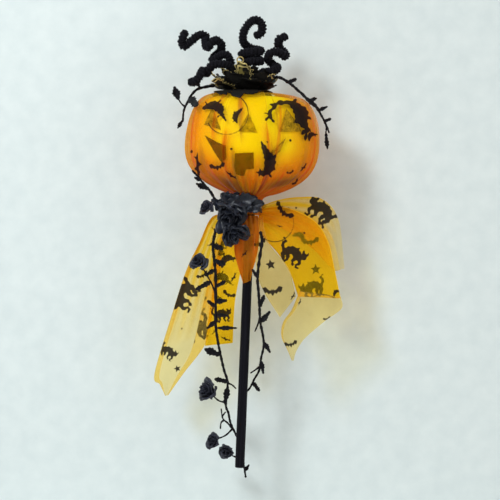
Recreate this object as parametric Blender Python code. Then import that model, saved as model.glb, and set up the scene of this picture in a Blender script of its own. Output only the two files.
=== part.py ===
"""Jack-o'-lantern wand: a wrapped pumpkin on a dowel with roses, vines, a collar and chenille curls.

Upright, +Z up along the dowel, origin at the centre of the dowel's lower end face, the face of the
pumpkin towards -Y. Lengths are written in millimetres and scaled to metres by MM.
"""

import math

import bmesh
import bpy
from mathutils import Matrix, Vector

MM = 0.001

# Dowel
DOWEL_RADIUS = 4.75
DOWEL_LENGTH = 305.0
DOWEL_CHAMFER = 0.5
GAP = 0.35

# Pumpkin: the ribbon's outer surface sets the size, the foam sits inside it
HEAD_CENTRE = (0.5, 0.0, 323.0)
WRAP_HALF = (66.5, 62.0, 54.0)
CROWN_HEIGHT = 50.0
CROWN_FULLNESS = 0.3
BASE_FULLNESS = (0.45, 0.85)
WRAP_THICKNESS = 0.8
WRAP_CLEARANCE = 2.4
RIB_COUNT = 8
RIB_DEPTH = 2.0
DIMPLE_RADIUS = 12.0
DIMPLE_DEPTH = 4.0
FELT_THICKNESS = 0.7
FELT_CLEARANCE = 0.6

# Neck
NECK_RADIUS = 9.5
NECK_BOTTOM = 254.0
TIE_RADIUS = 11.2
TIE_SECTION = 0.9
TIE_HEIGHT = 258.0

# Thin goods
RIBBON_THICKNESS = 0.8
LEAF_THICKNESS = 0.7
VINE_RADIUS = 0.9
CHENILLE_RADIUS = 2.6
PETAL_THICKNESS = 0.8
COLLAR_CENTRE = (-9.0, 0.0)


# ---------------------------------------------------------------- helpers

def clear_scene():
    for item in list(bpy.data.objects):
        bpy.data.objects.remove(item, do_unlink=True)


def material(name, colour, roughness, metallic=0.0):
    made = bpy.data.materials.get(name)
    if made is None:
        made = bpy.data.materials.new(name)
        made.use_nodes = True
        shader = made.node_tree.nodes["Principled BSDF"]
        shader.inputs["Base Color"].default_value = (*colour, 1.0)
        shader.inputs["Roughness"].default_value = roughness
        shader.inputs["Metallic"].default_value = metallic
    return made


def black_paint():
    return material("black_paint", (0.015, 0.015, 0.018), 0.35)


def orange_foam():
    return material("orange_foam", (0.80, 0.32, 0.02), 0.6)


def brown_felt():
    return material("brown_felt", (0.07, 0.04, 0.01), 0.9)


def sheer_ribbon():
    return material("sheer_ribbon", (0.85, 0.45, 0.03), 0.5)


def black_satin():
    return material("black_satin", (0.02, 0.022, 0.026), 0.4)


def black_paper():
    return material("black_paper", (0.018, 0.018, 0.02), 0.7)


def black_pile():
    return material("black_pile", (0.01, 0.01, 0.01), 0.95)


def gold_paint():
    return material("gold_paint", (0.45, 0.32, 0.10), 0.35, 0.8)


def add_object(name, mesh_data, surface, pivot=(0, 0, 0)):
    """Make an object from a bmesh in millimetres, with its origin at pivot."""
    bmesh.ops.recalc_face_normals(mesh_data, faces=mesh_data.faces[:])
    move = Matrix.Scale(MM, 4) @ Matrix.Translation(-Vector(pivot))
    bmesh.ops.transform(mesh_data, matrix=move, verts=mesh_data.verts[:])
    mesh = bpy.data.meshes.new(name)
    mesh_data.to_mesh(mesh)
    mesh_data.free()
    mesh.materials.append(surface)
    mesh.shade_smooth()
    mesh.set_sharp_from_angle(angle=math.radians(40))
    item = bpy.data.objects.new(name, mesh)
    item.location = Vector(pivot) * MM
    bpy.context.scene.collection.objects.link(item)
    return item


def fuse(item, *others):
    """Union other objects into item, and keep them as hidden guides."""
    for other in others:
        other.hide_render = True
        other.display_type = "WIRE"
        union = item.modifiers.new("fuse_" + other.name, "BOOLEAN")
        union.operation = "UNION"
        union.solver = "EXACT"
        union.object = other


def bridge_rings(mesh_data, rings, closed=False):
    """Join rings of vertices, each round and of one length, or single poles, by faces."""
    pairs = list(zip(rings, rings[1:]))
    if closed:
        pairs.append((rings[-1], rings[0]))
    for first, second in pairs:
        count = max(len(first), len(second))
        for k in range(count):
            a, b = first[k % len(first)], first[(k + 1) % len(first)]
            c, d = second[(k + 1) % len(second)], second[k % len(second)]
            corners = []
            for corner in (a, b, c, d):
                if corner not in corners:
                    corners.append(corner)
            mesh_data.faces.new(corners)


def turned(rows, segments, closed=False):
    """Bmesh of rows (half x, half y, z, rib depth) round a vertical axis; a row of size 0 is a pole."""
    mesh_data = bmesh.new()
    rings = []
    for half_x, half_y, z, rib in rows:
        if half_x == 0:
            rings.append([mesh_data.verts.new((0, 0, z))])
            continue
        ring = []
        for k in range(segments):
            turn = 2 * math.pi * k / segments
            shrink = 1 - rib * (0.5 - 0.5 * math.cos(RIB_COUNT * turn))
            x = half_x * math.cos(turn) * shrink
            ring.append(mesh_data.verts.new((x, half_y * math.sin(turn) * shrink, z)))
        rings.append(ring)
    bridge_rings(mesh_data, rings, closed)
    return mesh_data


def move_mesh(mesh_data, offset):
    bmesh.ops.translate(mesh_data, vec=Vector(offset), verts=mesh_data.verts[:])
    return mesh_data


def smooth_path(points, count):
    """Count points along a Catmull-Rom curve through the given points."""
    given = [Vector(p) for p in points]
    given = [2 * given[0] - given[1], *given, 2 * given[-1] - given[-2]]
    spans = len(given) - 3
    path = []
    for k in range(count):
        place = k * spans / (count - 1)
        span = min(int(place), spans - 1)
        t = place - span
        a, b, c, d = given[span:span + 4]
        path.append(0.5 * (2 * b + (c - a) * t + (2 * a - 5 * b + 4 * c - d) * t ** 2
                           + (3 * b - a - 3 * c + d) * t ** 3))
    return path


def tube(mesh_data, path, radii, sides):
    """Closed tube round a path, with a radius at every point."""
    along = (path[1] - path[0]).normalized()
    side = along.orthogonal().normalized()
    rings = [[mesh_data.verts.new(path[0] - along * radii[0] * 0.6)]]
    for k, point in enumerate(path):
        ahead = path[min(k + 1, len(path) - 1)] - path[max(k - 1, 0)]
        along = ahead.normalized()
        side = (side - along * side.dot(along)).normalized()
        up = along.cross(side)
        ring = []
        for s in range(sides):
            turn = 2 * math.pi * s / sides
            ring.append(mesh_data.verts.new(
                point + radii[k] * (side * math.cos(turn) + up * math.sin(turn))))
        rings.append(ring)
    rings.append([mesh_data.verts.new(path[-1] + along * radii[-1] * 0.6)])
    bridge_rings(mesh_data, rings)


def wire(points, count, radius, sides=6):
    """Bmesh of one smooth wire through the points."""
    mesh_data = bmesh.new()
    tube(mesh_data, smooth_path(points, count), [radius] * count, sides)
    return mesh_data


def leaf(mesh_data, base, tip, width):
    """Thin pointed leaf between two points, flat towards the front, with a raised midrib."""
    base, tip = Vector(base), Vector(tip)
    along = tip - base
    across = Vector((along.z, 0, -along.x)).normalized() * width / 2
    front = Vector((0, -1, 0))
    half = front * LEAF_THICKNESS / 2
    stations = ((0.0, 0.16), (0.35, 1.0), (0.7, 0.7), (1.0, 0.10))
    rings = []
    for share, size in stations:
        spine = base + along * share
        rim = across * size
        rings.append([mesh_data.verts.new(spot) for spot in (
            spine - rim - half, spine + front * 0.5 - half,
            spine + rim - half, spine + rim + half,
            spine + front * 0.5 + half, spine - rim + half)])
    bridge_rings(mesh_data, rings)
    mesh_data.faces.new(rings[0])
    mesh_data.faces.new(rings[-1])


def rose(mesh_data, centre, facing, radius, petals=8):
    """Closed cupped rose head that opens towards facing."""
    stations = ((0, -0.85), (0.55, -0.62), (1.0, 0.05), (0.92, 0.42), (0.5, 0.28), (0, 0.5))
    turn_to = Vector((0, 0, 1)).rotation_difference(Vector(facing)).to_matrix()
    rings = []
    for size, height in stations:
        if size == 0:
            spots = [Vector((0, 0, height))]
        else:
            spots = []
            for k in range(petals):
                turn = 2 * math.pi * k / petals
                reach = size * (1 + 0.08 * (-1) ** k)
                spots.append(Vector((reach * math.cos(turn), reach * math.sin(turn), height)))
        rings.append([mesh_data.verts.new(Vector(centre) + turn_to @ (spot * radius)) for spot in spots])
    bridge_rings(mesh_data, rings)


def strip(mesh_data, rows, columns):
    """Thin ribbon of even thickness through rows of (left edge, right edge)."""
    grids = []
    for face in (-0.5, 0.5):
        grid = []
        for left, right in rows:
            line = []
            for c in range(columns + 1):
                share = c / columns
                spot = Vector(left).lerp(Vector(right), share)
                spot.y += RIBBON_THICKNESS * face
                line.append(mesh_data.verts.new(spot))
            grid.append(line)
        grids.append(grid)
    front, back = grids
    last = len(rows) - 1
    for grid in grids:
        for r in range(last):
            for c in range(columns):
                mesh_data.faces.new((grid[r][c], grid[r][c + 1], grid[r + 1][c + 1], grid[r + 1][c]))
    border = [(0, c) for c in range(columns)] + [(r, columns) for r in range(last)]
    border += [(last, c) for c in range(columns, 0, -1)] + [(r, 0) for r in range(last, 0, -1)]
    for (r, c), (r2, c2) in zip(border, border[1:] + border[:1]):
        mesh_data.faces.new((front[r][c], front[r2][c2], back[r2][c2], back[r][c]))


def head_width(up):
    """Width of the head as a share of its widest, at a height from -1, the bottom, to 1, the top."""
    if up >= 0:
        power = CROWN_FULLNESS
    else:
        power = BASE_FULLNESS[0] - BASE_FULLNESS[1] * up
    return max(0.0, 1 - up ** 2) ** (power / 2)


def head_rows(inset, first_radius, last_radius, steps, rib=0.0):
    """Rows of the pumpkin's surface, inset from the ribbon, from the top opening to the bottom one."""
    half_x, half_y, half_z = (size - inset for size in WRAP_HALF)
    start = math.asin((first_radius / half_x) ** (1 / CROWN_FULLNESS))
    end = math.pi - math.asin((last_radius / half_x) ** (1 / sum(BASE_FULLNESS)))
    rows = []
    for k in range(steps + 1):
        up = math.cos(start + (end - start) * k / steps)
        wide = head_width(up)
        height = HEAD_CENTRE[2] + up * (CROWN_HEIGHT - inset if up > 0 else half_z)
        # Near the two openings the section is round, like the dowel and the neck
        round_half = half_x + (half_y - half_x) * min(1.0, wide * 1.6)
        rows.append((half_x * wide, round_half * wide, height, rib * wide ** 2))
    rows[0] = (first_radius, first_radius, rows[0][2], 0)
    rows[-1] = (last_radius, last_radius, rows[-1][2], 0)
    return rows


# ---------------------------------------------------------------- stick and head

def make_stick():
    inner = DOWEL_RADIUS - DOWEL_CHAMFER
    rows = [(0, 0, 0, 0), (inner, inner, 0, 0), (DOWEL_RADIUS, DOWEL_RADIUS, DOWEL_CHAMFER, 0),
            (DOWEL_RADIUS, DOWEL_RADIUS, DOWEL_LENGTH - DOWEL_CHAMFER, 0),
            (inner, inner, DOWEL_LENGTH, 0), (0, 0, DOWEL_LENGTH, 0)]
    add_object("stick", turned(rows, 24), black_paint())


def make_pumpkin():
    """Solid foam pumpkin with ribs, a dimple at the top and a blind hole for the dowel below."""
    bore = DOWEL_RADIUS + GAP
    bore_top = DOWEL_LENGTH + GAP
    outer = head_rows(WRAP_THICKNESS + WRAP_CLEARANCE, DIMPLE_RADIUS, bore, 14, RIB_DEPTH / WRAP_HALF[0])
    rows = [(0, 0, outer[0][2] - DIMPLE_DEPTH, 0)] + outer
    rows += [(bore, bore, bore_top, 0), (0, 0, bore_top, 0)]
    add_object("pumpkin", turned(rows, 32), orange_foam())


def make_wrap():
    """Ribbon skin from under the collar, over the pumpkin and down into the neck gather."""
    def skin(inset):
        rows = head_rows(inset, 20.0, 18.0, 12)
        bottom = rows[-1][2]
        for radius, height in ((13.0, bottom - 2.5), (10.5, bottom - 7.0)):
            rows.append((radius - inset, radius - inset, height, 0))
        rows.append((NECK_RADIUS - inset, NECK_RADIUS - inset, NECK_BOTTOM, 0))
        return rows

    rows = skin(0.0) + list(reversed(skin(WRAP_THICKNESS)))
    add_object("ribbon_wrap", turned(rows, 28, closed=True), sheer_ribbon())


def make_tie():
    rows = []
    for k in range(6):
        turn = 2 * math.pi * k / 6
        radius = TIE_RADIUS + TIE_SECTION * math.cos(turn)
        rows.append((radius, radius, TIE_HEIGHT + 2 * TIE_SECTION * math.sin(turn), 0))
    add_object("neck_tie", turned(rows, 20, closed=True), black_satin())


def felt_depth(x, z, inset):
    """Distance from the centre plane to the pumpkin's front at a place on the face."""
    half_x, half_y, half_z = (size - inset for size in WRAP_HALF)
    rise = z - HEAD_CENTRE[2]
    wide = head_width(rise / (CROWN_HEIGHT - inset if rise > 0 else half_z))
    return half_y * wide * math.sqrt(1 - (x / (half_x * wide)) ** 2)


def felt_piece(name, outline):
    """Felt cut to an outline in (x, z), bent round the pumpkin's front."""
    mesh_data = bmesh.new()
    foam_inset = WRAP_THICKNESS + WRAP_CLEARANCE
    corners = [mesh_data.verts.new((x, 0, z)) for x, z in outline]
    mesh_data.faces.new(corners)
    bmesh.ops.triangulate(mesh_data, faces=mesh_data.faces[:])
    bmesh.ops.subdivide_edges(mesh_data, edges=mesh_data.edges[:], cuts=2, use_grid_fill=True)
    bmesh.ops.triangulate(mesh_data, faces=mesh_data.faces[:])
    front = bmesh.ops.extrude_face_region(mesh_data, geom=mesh_data.faces[:])
    lifted = {part for part in front["geom"] if isinstance(part, bmesh.types.BMVert)}
    for vert in mesh_data.verts:
        lift = FELT_CLEARANCE + (FELT_THICKNESS if vert in lifted else 0.0)
        vert.co.y = -felt_depth(vert.co.x, vert.co.z, foam_inset - lift)
    add_object(name, move_mesh(mesh_data, (HEAD_CENTRE[0], 0, 0)), brown_felt())


def make_face():
    felt_piece("eye_left", ((-41.0, 355.0), (-48.5, 338.0), (-31.5, 332.5)))
    felt_piece("eye_right", ((31.0, 356.5), (25.0, 332.5), (47.5, 335.0)))
    felt_piece("nose", ((-5.5, 349.5), (-14.5, 331.0), (4.0, 330.5)))
    felt_piece("mouth_left", ((-47.5, 327.5), (-35.5, 321.0), (-26.0, 317.0), (-25.0, 305.5),
                              (-29.0, 300.0), (-36.5, 310.0)))
    felt_piece("mouth_centre", ((-17.0, 310.0), (1.0, 311.5), (2.0, 296.0), (-5.5, 295.0),
                                (-7.5, 288.5), (-15.0, 290.5), (-17.0, 297.0)))
    felt_piece("mouth_right", ((32.0, 328.0), (26.5, 314.0), (19.5, 305.5), (12.5, 304.5),
                               (16.5, 312.0), (23.0, 318.0)))


# ---------------------------------------------------------------- ribbon tails

def ribbon(name, rows, columns=3):
    mesh_data = bmesh.new()
    strip(mesh_data, rows, columns)
    add_object(name, mesh_data, sheer_ribbon())


def make_left_ribbons():
    ribbon("ribbon_left_outer", (
        ((-20, 0, 252), (-12, 0, 247)), ((-38, 0, 249), (-19, 0, 236)), ((-50, 1, 222), (-27, 2, 214)),
        ((-62, 3, 194), (-31, 5, 186)), ((-74, 8, 152), (-38, 9, 152)), ((-90, 13, 89), (-42, 13, 123)),
        ((-84, 14, 78), (-60, 14, 92)), ((-78, 14, 67), (-75, 14, 68))))
    ribbon("ribbon_left_inner", (
        ((-12, -4.5, 251), (-4, -5.5, 251)), ((-24, -4, 230), (-4, -6.5, 230)),
        ((-31, -3, 200), (-6.5, -5.5, 200)), ((-34, -2, 170), (-11, -3, 170)),
        ((-38, -1, 145), (-12, -1, 147)), ((-40, 0, 121), (-12, 1, 123))))
    ribbon("ribbon_centre", (
        ((-16, -8.5, 252), (0, -8.5, 252)), ((-15, -8.5, 235), (1, -8.5, 235)),
        ((-14, -8, 215), (2, -8, 215)), ((-9, -7.5, 198), (2.5, -7, 198)),
        ((-4, -6.5, 184), (3, -6.5, 187))))


def make_right_ribbons():
    ribbon("ribbon_right_back", (
        ((11, 8, 251), (14, 8, 261)), ((27, 9, 243), (27, 9, 269)), ((48, 10, 232), (48, 11, 273)),
        ((66, 10, 220), (72, 12, 272)), ((78, 9, 208), (89, 10, 252)), ((88, 8, 200), (97, 8, 203))))
    ribbon("ribbon_right_fold", (
        ((12, 3, 246), (13, 3, 257)), ((16, 2, 232), (34, 3, 262)), ((30, 1, 214), (64, 4, 250)),
        ((42, 0, 196), (79, 4, 230)), ((47, 0, 184), (87, 4, 202)), ((51, 0, 173), (94, 3, 173))))
    ribbon("ribbon_right_front", (
        ((7, -6, 248), (13, -6, 252)), ((5.6, -8, 232), (15, -8, 238)), ((6, -9, 217), (22, -9, 222)),
        ((10, -9, 193), (40, -8, 202)), ((18, -8, 175), (46, -7, 184)), ((34, -6, 152), (49, -5, 173))))
    ribbon("ribbon_right_tail", (
        ((50, -2, 169), (94, -1, 169.5)), ((45, -3, 158), (95, -1, 163)), ((37, -3, 147), (78, -1, 149)),
        ((36, -3, 133), (60, -2, 132)), ((43, -3, 119), (52, -2, 119)), ((47.5, -3, 109), (49.5, -3, 109))))


# ---------------------------------------------------------------- flowers and vines

def rose_node(name, centre, facing, radius):
    mesh_data = bmesh.new()
    rose(mesh_data, centre, facing, radius, petals=10)
    add_object(name, mesh_data, black_satin())


def make_neck_flowers():
    rose_node("rose_large", (-21, -23, 250), (-0.25, -0.9, 0.35), 14.5)
    rose_node("rose_small", (-13, -21, 229.5), (0.15, -0.9, -0.4), 9.5)
    for name, base, tip, width in (("rose_leaf_right", (-7, -15.5, 262), (14, -14.5, 265.5), 9),
                                   ("rose_leaf_top", (-20, -15, 262), (-24, -21.5, 273), 9),
                                   ("rose_leaf_back", (8, 14.5, 259), (-12, 14.5, 268), 9)):
        mesh_data = bmesh.new()
        leaf(mesh_data, base, tip, width)
        add_object(name, mesh_data, black_satin())


def spray(name, stem, count, twigs, leaves, roses, surface):
    """Wired spray: one stem, its twigs, and the leaves and rose heads fused onto them."""
    pivot = stem[0]
    item = add_object(name, wire(stem, count, VINE_RADIUS), surface, pivot)
    for k, twig in enumerate(twigs):
        fuse(item, add_object(f"{name}_twig_{k}", wire(twig, 2 * len(twig), VINE_RADIUS * 0.75, sides=5), surface))
    if leaves:
        mesh_data = bmesh.new()
        for base, tip, width in leaves:
            leaf(mesh_data, base, tip, width)
        fuse(item, add_object(f"{name}_leaves", mesh_data, surface))
    if roses:
        mesh_data = bmesh.new()
        for centre, facing, radius in roses:
            rose(mesh_data, centre, facing, radius)
        fuse(item, add_object(f"{name}_roses", mesh_data, surface))


def make_left_vine():
    """Hangs in front of the ribbon at the neck and passes behind the dowel near its lower end."""
    stem = ((-28, -10, 243), (-33, -11, 236), (-35.5, -12, 222), (-34, -12, 209), (-31.5, -12, 190),
            (-30.5, -12, 166), (-29.5, -12, 142), (-27, -11, 127), (-23, -9, 110), (-19.5, -6, 97),
            (-15.5, -2, 84), (-16.5, 4, 62), (-13.5, 7, 53), (-11, 9, 43), (-6, 10, 33), (0, 10, 22),
            (3, 10, 8), (4.5, 10, -1), (6.5, 10, -11))
    twigs = (((-31, -12, 173), (-36, -13, 184), (-48, -13.5, 203)),
             ((-16.8, 3, 64), (-24, 1, 66), (-31, 0, 72)),
             ((-9, 9.5, 37), (-16, 10, 30), (-27, 10.5, 25)),
             ((2, 10, 12), (-4, 10, 9), (-13, 9.5, 12.5)),
             ((-15.7, -1.5, 84), (-11, 2, 82), (-7, 7, 78)),
             ((-14.5, 6.5, 55), (-21, 7, 53), (-21, 7, 40)))
    leaves = (((-36, -13.5, 185), (-51, -14, 176), 6), ((-31, -12.4, 165), (-19, -13, 167), 6),
              ((-30.5, -12, 160), (-39, -12.5, 166), 5), ((-29, -12, 139), (-8, -12.5, 140), 4.5),
              ((-24, -9.5, 112), (-40, -11, 118), 8), ((-15.2, -2.2, 85.5), (-29, -5, 88), 5),
              ((-34, -12.4, 206), (-22, -14, 202), 7), ((-30, -12, 152), (-17, -13, 152), 4),
              ((5, 10, -5), (9.5, 10.5, 2), 4))
    roses = (((-50, -15, 205), (-0.5, -0.6, 0.6), 8.0), ((-37, -1, 78), (-0.6, -0.7, 0.4), 10.0),
             ((-29.5, 9.5, 24), (-0.8, -0.5, 0), 7.5), ((-14.5, 9, 13), (-0.6, -0.7, 0.2), 7.0))
    spray("vine_left", stem, 38, twigs, leaves, roses, black_paper())


def make_right_vine():
    """Hangs from the right of the neck and passes behind the dowel half way down."""
    stem = ((11, -13.5, 236), (13, -14, 227), (11, -14, 208), (10, -14, 190), (11.5, -13.5, 177),
            (13, -12, 163), (14.5, -9, 147), (18, -5, 132), (19, -1, 122), (17, 4, 110),
            (15.5, 8, 97), (11, 9.5, 88), (7, 10, 79), (1, 10, 72))
    twigs = (((14, -10, 150), (11.5, -9, 142), (9.5, -8.5, 137)),
             ((16, 6.8, 101), (11, 8, 97), (7, 9, 94)))
    leaves = (((13, -11.8, 161), (17.5, -13, 174), 5), ((15, -8.4, 146), (24, -9, 158), 6),
              ((18.6, -3, 127), (26, -4, 116), 5), ((16.8, 4.5, 108), (20, 4, 94), 5),
              ((10, -14, 191), (4, -14.5, 199), 4), ((9.5, 10, 85), (17, 10.5, 76), 5))
    spray("vine_right", stem, 28, twigs, leaves, (), black_paper())


def make_sprigs():
    """Wired sprigs beside the collar and at the neck, held off the ribbon."""
    spray("sprig_right", ((17, 0, 389.5), (21, 0, 391.5), (27, -1, 390), (36, -1, 384.5), (41, -2, 380.5),
                          (50, -3, 373), (62, -3, 362), (67.5, -3, 354), (71, -3, 348), (75.5, -3, 338)),
          24, (((41, -2, 380.5), (42.5, -3, 378), (45.5, -4.5, 376)),
               ((70, -3, 350), (72.5, -3, 343), (72, -3, 336))),
          (((45, -4, 376.3), (65, -18, 358.5), 4.5), ((72.2, -3, 338), (74.5, -3, 321), 4.5),
           ((33, -1, 386.5), (41, -1.5, 390.5), 5), ((64, -3, 359.5), (73, -3, 364), 4)), (), black_paper())
    spray("sprig_left", ((-41, 0, 380.5), (-49, 0, 379), (-58, 0, 376), (-63.5, 0, 370), (-67, 0, 363),
                         (-70.5, 0, 354), (-71, 0, 343)),
          18, (((-69, 0, 358), (-73, 0, 361), (-76.5, 0, 366)),),
          (((-76, 0, 364.5), (-81, -1, 378), 8), ((-65, 0, 367.5), (-56, -29, 356), 10),
           ((-55, 0, 377), (-60, 0, 386), 4), ((-71, 0, 345), (-76, 0, 336), 4)), (), black_paper())
    spray("sprig_low", ((-33, -10, 256), (-35.5, -10.5, 266), (-41, -11, 275), (-46, -11, 280),
                        (-53, -11, 288), (-59, -11, 294)),
          14, (((-35, -10.2, 262.5), (-37.5, -11, 262), (-40, -11.5, 261)),),
          (((-42, -11, 276), (-55, -12, 281.5), 6), ((-50, -11, 284.5), (-57, -11.5, 287.5), 4)),
          (((-45, -12.5, 258.5), (-0.6, -0.7, 0.4), 7.5),), black_paper())


# ---------------------------------------------------------------- collar and chenille

def petal_layer(name, reach, notch, petals, phase, base_height, rise, ruffle, surface):
    """Round layer of joined petals with a centre hole, rising or falling towards its rim."""
    rings_out, segments, hole = 4, petals * 6, 6.0
    mesh_data = bmesh.new()
    sides = []
    for face in (-0.5, 0.5):
        rings = []
        for r in range(rings_out + 1):
            ring = []
            for k in range(segments):
                turn = 2 * math.pi * k / segments
                limit = reach * (1 - notch * (0.5 - 0.5 * math.cos(petals * turn + phase)))
                share = r / rings_out
                radius = hole + (limit - hole) * share
                flutter = ruffle * share * math.sin(2 * petals * turn)
                height = base_height + rise * (radius / reach) ** 2 + flutter
                ring.append(mesh_data.verts.new((radius * math.cos(turn) + COLLAR_CENTRE[0],
                                                 0.86 * radius * math.sin(turn) + COLLAR_CENTRE[1],
                                                 height + PETAL_THICKNESS * face)))
            rings.append(ring)
        sides.append(rings)
    lower, upper = sides
    bridge_rings(mesh_data, lower + upper[::-1], closed=True)
    add_object(name, mesh_data, surface)


def make_collar():
    petal_layer("collar_lower", 42.0, 0.35, 7, 0.4, 375.4, 0.0, 0.8, black_satin())
    petal_layer("collar_middle", 38.0, 0.42, 6, math.pi, 383.0, 9.0, 2.0, black_satin())
    petal_layer("collar_upper", 21.0, 0.4, 5, 0.9, 385.0, 7.0, 1.0, black_satin())
    path = smooth_path(((-9, -7, 390), (-11, -10, 395), (-14, -14, 400), (-16, -17, 405)), 9)
    radii = [0.8, 0.8, 0.8, 0.8, 0.9, 1.2, 3.0, 3.4, 2.4]
    mesh_data = bmesh.new()
    tube(mesh_data, path, radii, 8)
    add_object("collar_stamen", mesh_data, gold_paint())


def chenille(name, points, count):
    mesh_data = wire(points, count, CHENILLE_RADIUS)
    add_object(name, mesh_data, black_pile(), points[0])


def make_chenille():
    chenille("chenille_left", (
        (-20, 3, 394), (-25, 1, 398), (-26, -4, 405), (-30, -6, 411), (-36.5, -3, 410), (-43.5, 3, 405.5),
        (-42, 7, 411), (-36, 6, 416), (-36, 0, 422.5), (-42.5, -5, 425), (-49, -4, 418), (-52, 2, 424),
        (-52, 5, 430), (-58, 3, 431), (-66, 0, 424), (-72, -2, 418.5), (-75, -3, 423), (-71.5, -3, 434)), 44)
    chenille("chenille_centre", (
        (-9, 4, 392), (-13, 1, 398), (-11, -5.5, 403), (-4, -8, 405), (3.5, -3.5, 406.5),
        (3, 4.5, 408.5), (-5, 8, 410), (-13, 4, 411.5), (-14, -4, 413), (-6, -8.5, 414.5),
        (2.5, -4, 416), (3, 4, 418), (-4, 8, 420), (-12, 5.5, 423.5), (-14.5, 1, 430),
        (-12.5, -1, 438), (-7.5, -2, 445), (-1, -1.5, 447.5), (4, 0, 443), (3.5, 3, 435.5),
        (-3, 4.5, 432)), 60)
    chenille("chenille_right", (
        (3, 2, 394.5), (10, -2, 396), (17, -4, 397), (21.5, 0, 401), (16, 5, 405), (11.5, 2, 410),
        (13, -5, 414), (20, -6, 416), (28, -1, 413), (28, 5, 417), (22, 5, 423), (22, 0, 429),
        (30, -2, 433)), 32)
    chenille("chenille_low", (
        (-21, -9, 395), (-26, -10, 399), (-34, -12, 401), (-44, -10, 399), (-49, -6, 391.5),
        (-53, -9, 394), (-55.5, -14, 388), (-60, -12, 382), (-66, -8, 383)), 22)


def main():
    clear_scene()
    make_stick()
    make_pumpkin()
    make_wrap()
    make_tie()
    make_face()
    make_left_ribbons()
    make_right_ribbons()
    make_neck_flowers()
    make_left_vine()
    make_right_vine()
    make_sprigs()
    make_collar()
    make_chenille()


main()
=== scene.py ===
"""Looks of the wrapped pumpkin wand: printed sheer ribbon, felt face, satin and paper flowers, chenille.

Lengths are in millimetres in the part's own frame (+Z up the dowel, face towards -Y), and MM scales
them to metres when a mesh is made.
"""

import math

import bmesh
import bpy
import numpy as np
from mathutils import Matrix, Vector, noise


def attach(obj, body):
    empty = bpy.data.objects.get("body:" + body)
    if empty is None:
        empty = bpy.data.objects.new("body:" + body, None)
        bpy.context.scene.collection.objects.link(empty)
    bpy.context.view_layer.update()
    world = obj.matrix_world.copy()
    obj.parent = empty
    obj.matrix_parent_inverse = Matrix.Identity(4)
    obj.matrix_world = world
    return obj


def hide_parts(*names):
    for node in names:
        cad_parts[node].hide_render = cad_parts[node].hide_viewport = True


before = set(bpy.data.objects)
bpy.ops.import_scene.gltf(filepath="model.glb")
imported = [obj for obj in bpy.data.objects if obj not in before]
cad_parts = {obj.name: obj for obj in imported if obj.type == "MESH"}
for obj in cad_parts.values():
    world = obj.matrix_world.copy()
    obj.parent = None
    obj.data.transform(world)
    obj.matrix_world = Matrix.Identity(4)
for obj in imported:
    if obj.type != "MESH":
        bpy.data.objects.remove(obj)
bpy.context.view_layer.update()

MM = 0.001
FRONT = np.array((0.0, -1.0, 0.0))

# Camera: level, along +Y, with 500 mm across the picture at the dowel
CAMERA_DISTANCE = 1500.0
CAMERA_CENTRE = (1.4, 217.7)
CAMERA_LENS = 108.0
CAMERA_ROLL = math.radians(-2.35)

# Stage: place, energy, size and colour of each lamp
LIGHTS = {
    "key_light": ((-800, -1150, 1050), 16.0, 420, (0.92, 0.98, 1.0)),
    "side_light": ((1200, -900, 500), 3.0, 900, (1.0, 0.97, 0.92)),
    "back_light": ((500, 1500, 800), 12.0, 900, (1.0, 0.98, 0.95)),
}
LIGHT_TARGET = Vector((0, 0, 250))
BACKDROP_Y = 70.0
FLOOR_Z = -60.0

# Pumpkin and its wrap
HEAD_HEIGHT = 323.0
WRAP_HALF = (66.5, 62.0, 54.0)
CROWN_HEIGHT = 50.0
CROWN_FULLNESS = 0.3
BASE_FULLNESS = (0.45, 0.85)
FOAM_INSET = 3.2
RIB_COUNT = 8
HEAD_COLUMNS = 192
DIMPLE_RADIUS = 12.0
DIMPLE_DEPTH = 4.0
BORE_RADIUS = 5.1
BORE_TOP = 305.4
TOP_OPENING = 20.0
BOTTOM_OPENING = 18.0
NECK_BOTTOM = 253.0
WRAP_COLUMNS = 480

# Ribbon's flat width, in metres
RIBBON_WIDTH = 0.063

# Thin goods
TAIL_PLEATS = 5
STEM_RADIUS = 1.4
TWIG_RADIUS = 0.9
PILE_RADIUS = 3.0
PILE_STEP = 0.45
PILE_PITCH = 2.7
COLLAR_X = -9.0


# ---- stage

def link(name, data):
    made = bpy.data.objects.new(name, data)
    bpy.context.scene.collection.objects.link(made)
    return made


def make_camera():
    camera = link("camera", bpy.data.cameras.new("camera"))
    camera.data.sensor_width = 36.0
    camera.data.lens = CAMERA_LENS
    right = (math.cos(CAMERA_ROLL), 0, -math.sin(CAMERA_ROLL))
    up = (math.sin(CAMERA_ROLL), 0, math.cos(CAMERA_ROLL))
    turn = Matrix((right, up, (0, -1, 0))).transposed().to_4x4()
    place = Vector((CAMERA_CENTRE[0], -CAMERA_DISTANCE, CAMERA_CENTRE[1])) * MM
    camera.matrix_world = Matrix.Translation(place) @ turn
    bpy.context.scene.camera = camera


def make_lights():
    for name, (place, energy, size, colour) in LIGHTS.items():
        lamp = link(name, bpy.data.lights.new(name, "AREA"))
        lamp.data.shape = "DISK"
        lamp.data.size = size * MM
        lamp.data.energy = energy
        lamp.data.color = colour
        lamp.location = Vector(place) * MM
        lamp.rotation_euler = (LIGHT_TARGET - Vector(place)).to_track_quat("-Z", "Y").to_euler()
    world = bpy.data.worlds.new("studio")
    bpy.context.scene.world = world
    world.use_nodes = True
    sky = world.node_tree.nodes["Background"]
    sky.inputs["Color"].default_value = (0.95, 0.93, 0.89, 1)
    sky.inputs["Strength"].default_value = 0.5
    bpy.context.scene.view_settings.view_transform = "Standard"


def make_board(name, surface, corner, across, rise):
    corner, across, rise = (np.array(row) for row in (corner, across, rise))
    board = np.array([[corner, corner + across], [corner + rise, corner + rise + across]])
    return make_object(name, [(board, False)], surface)


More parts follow.
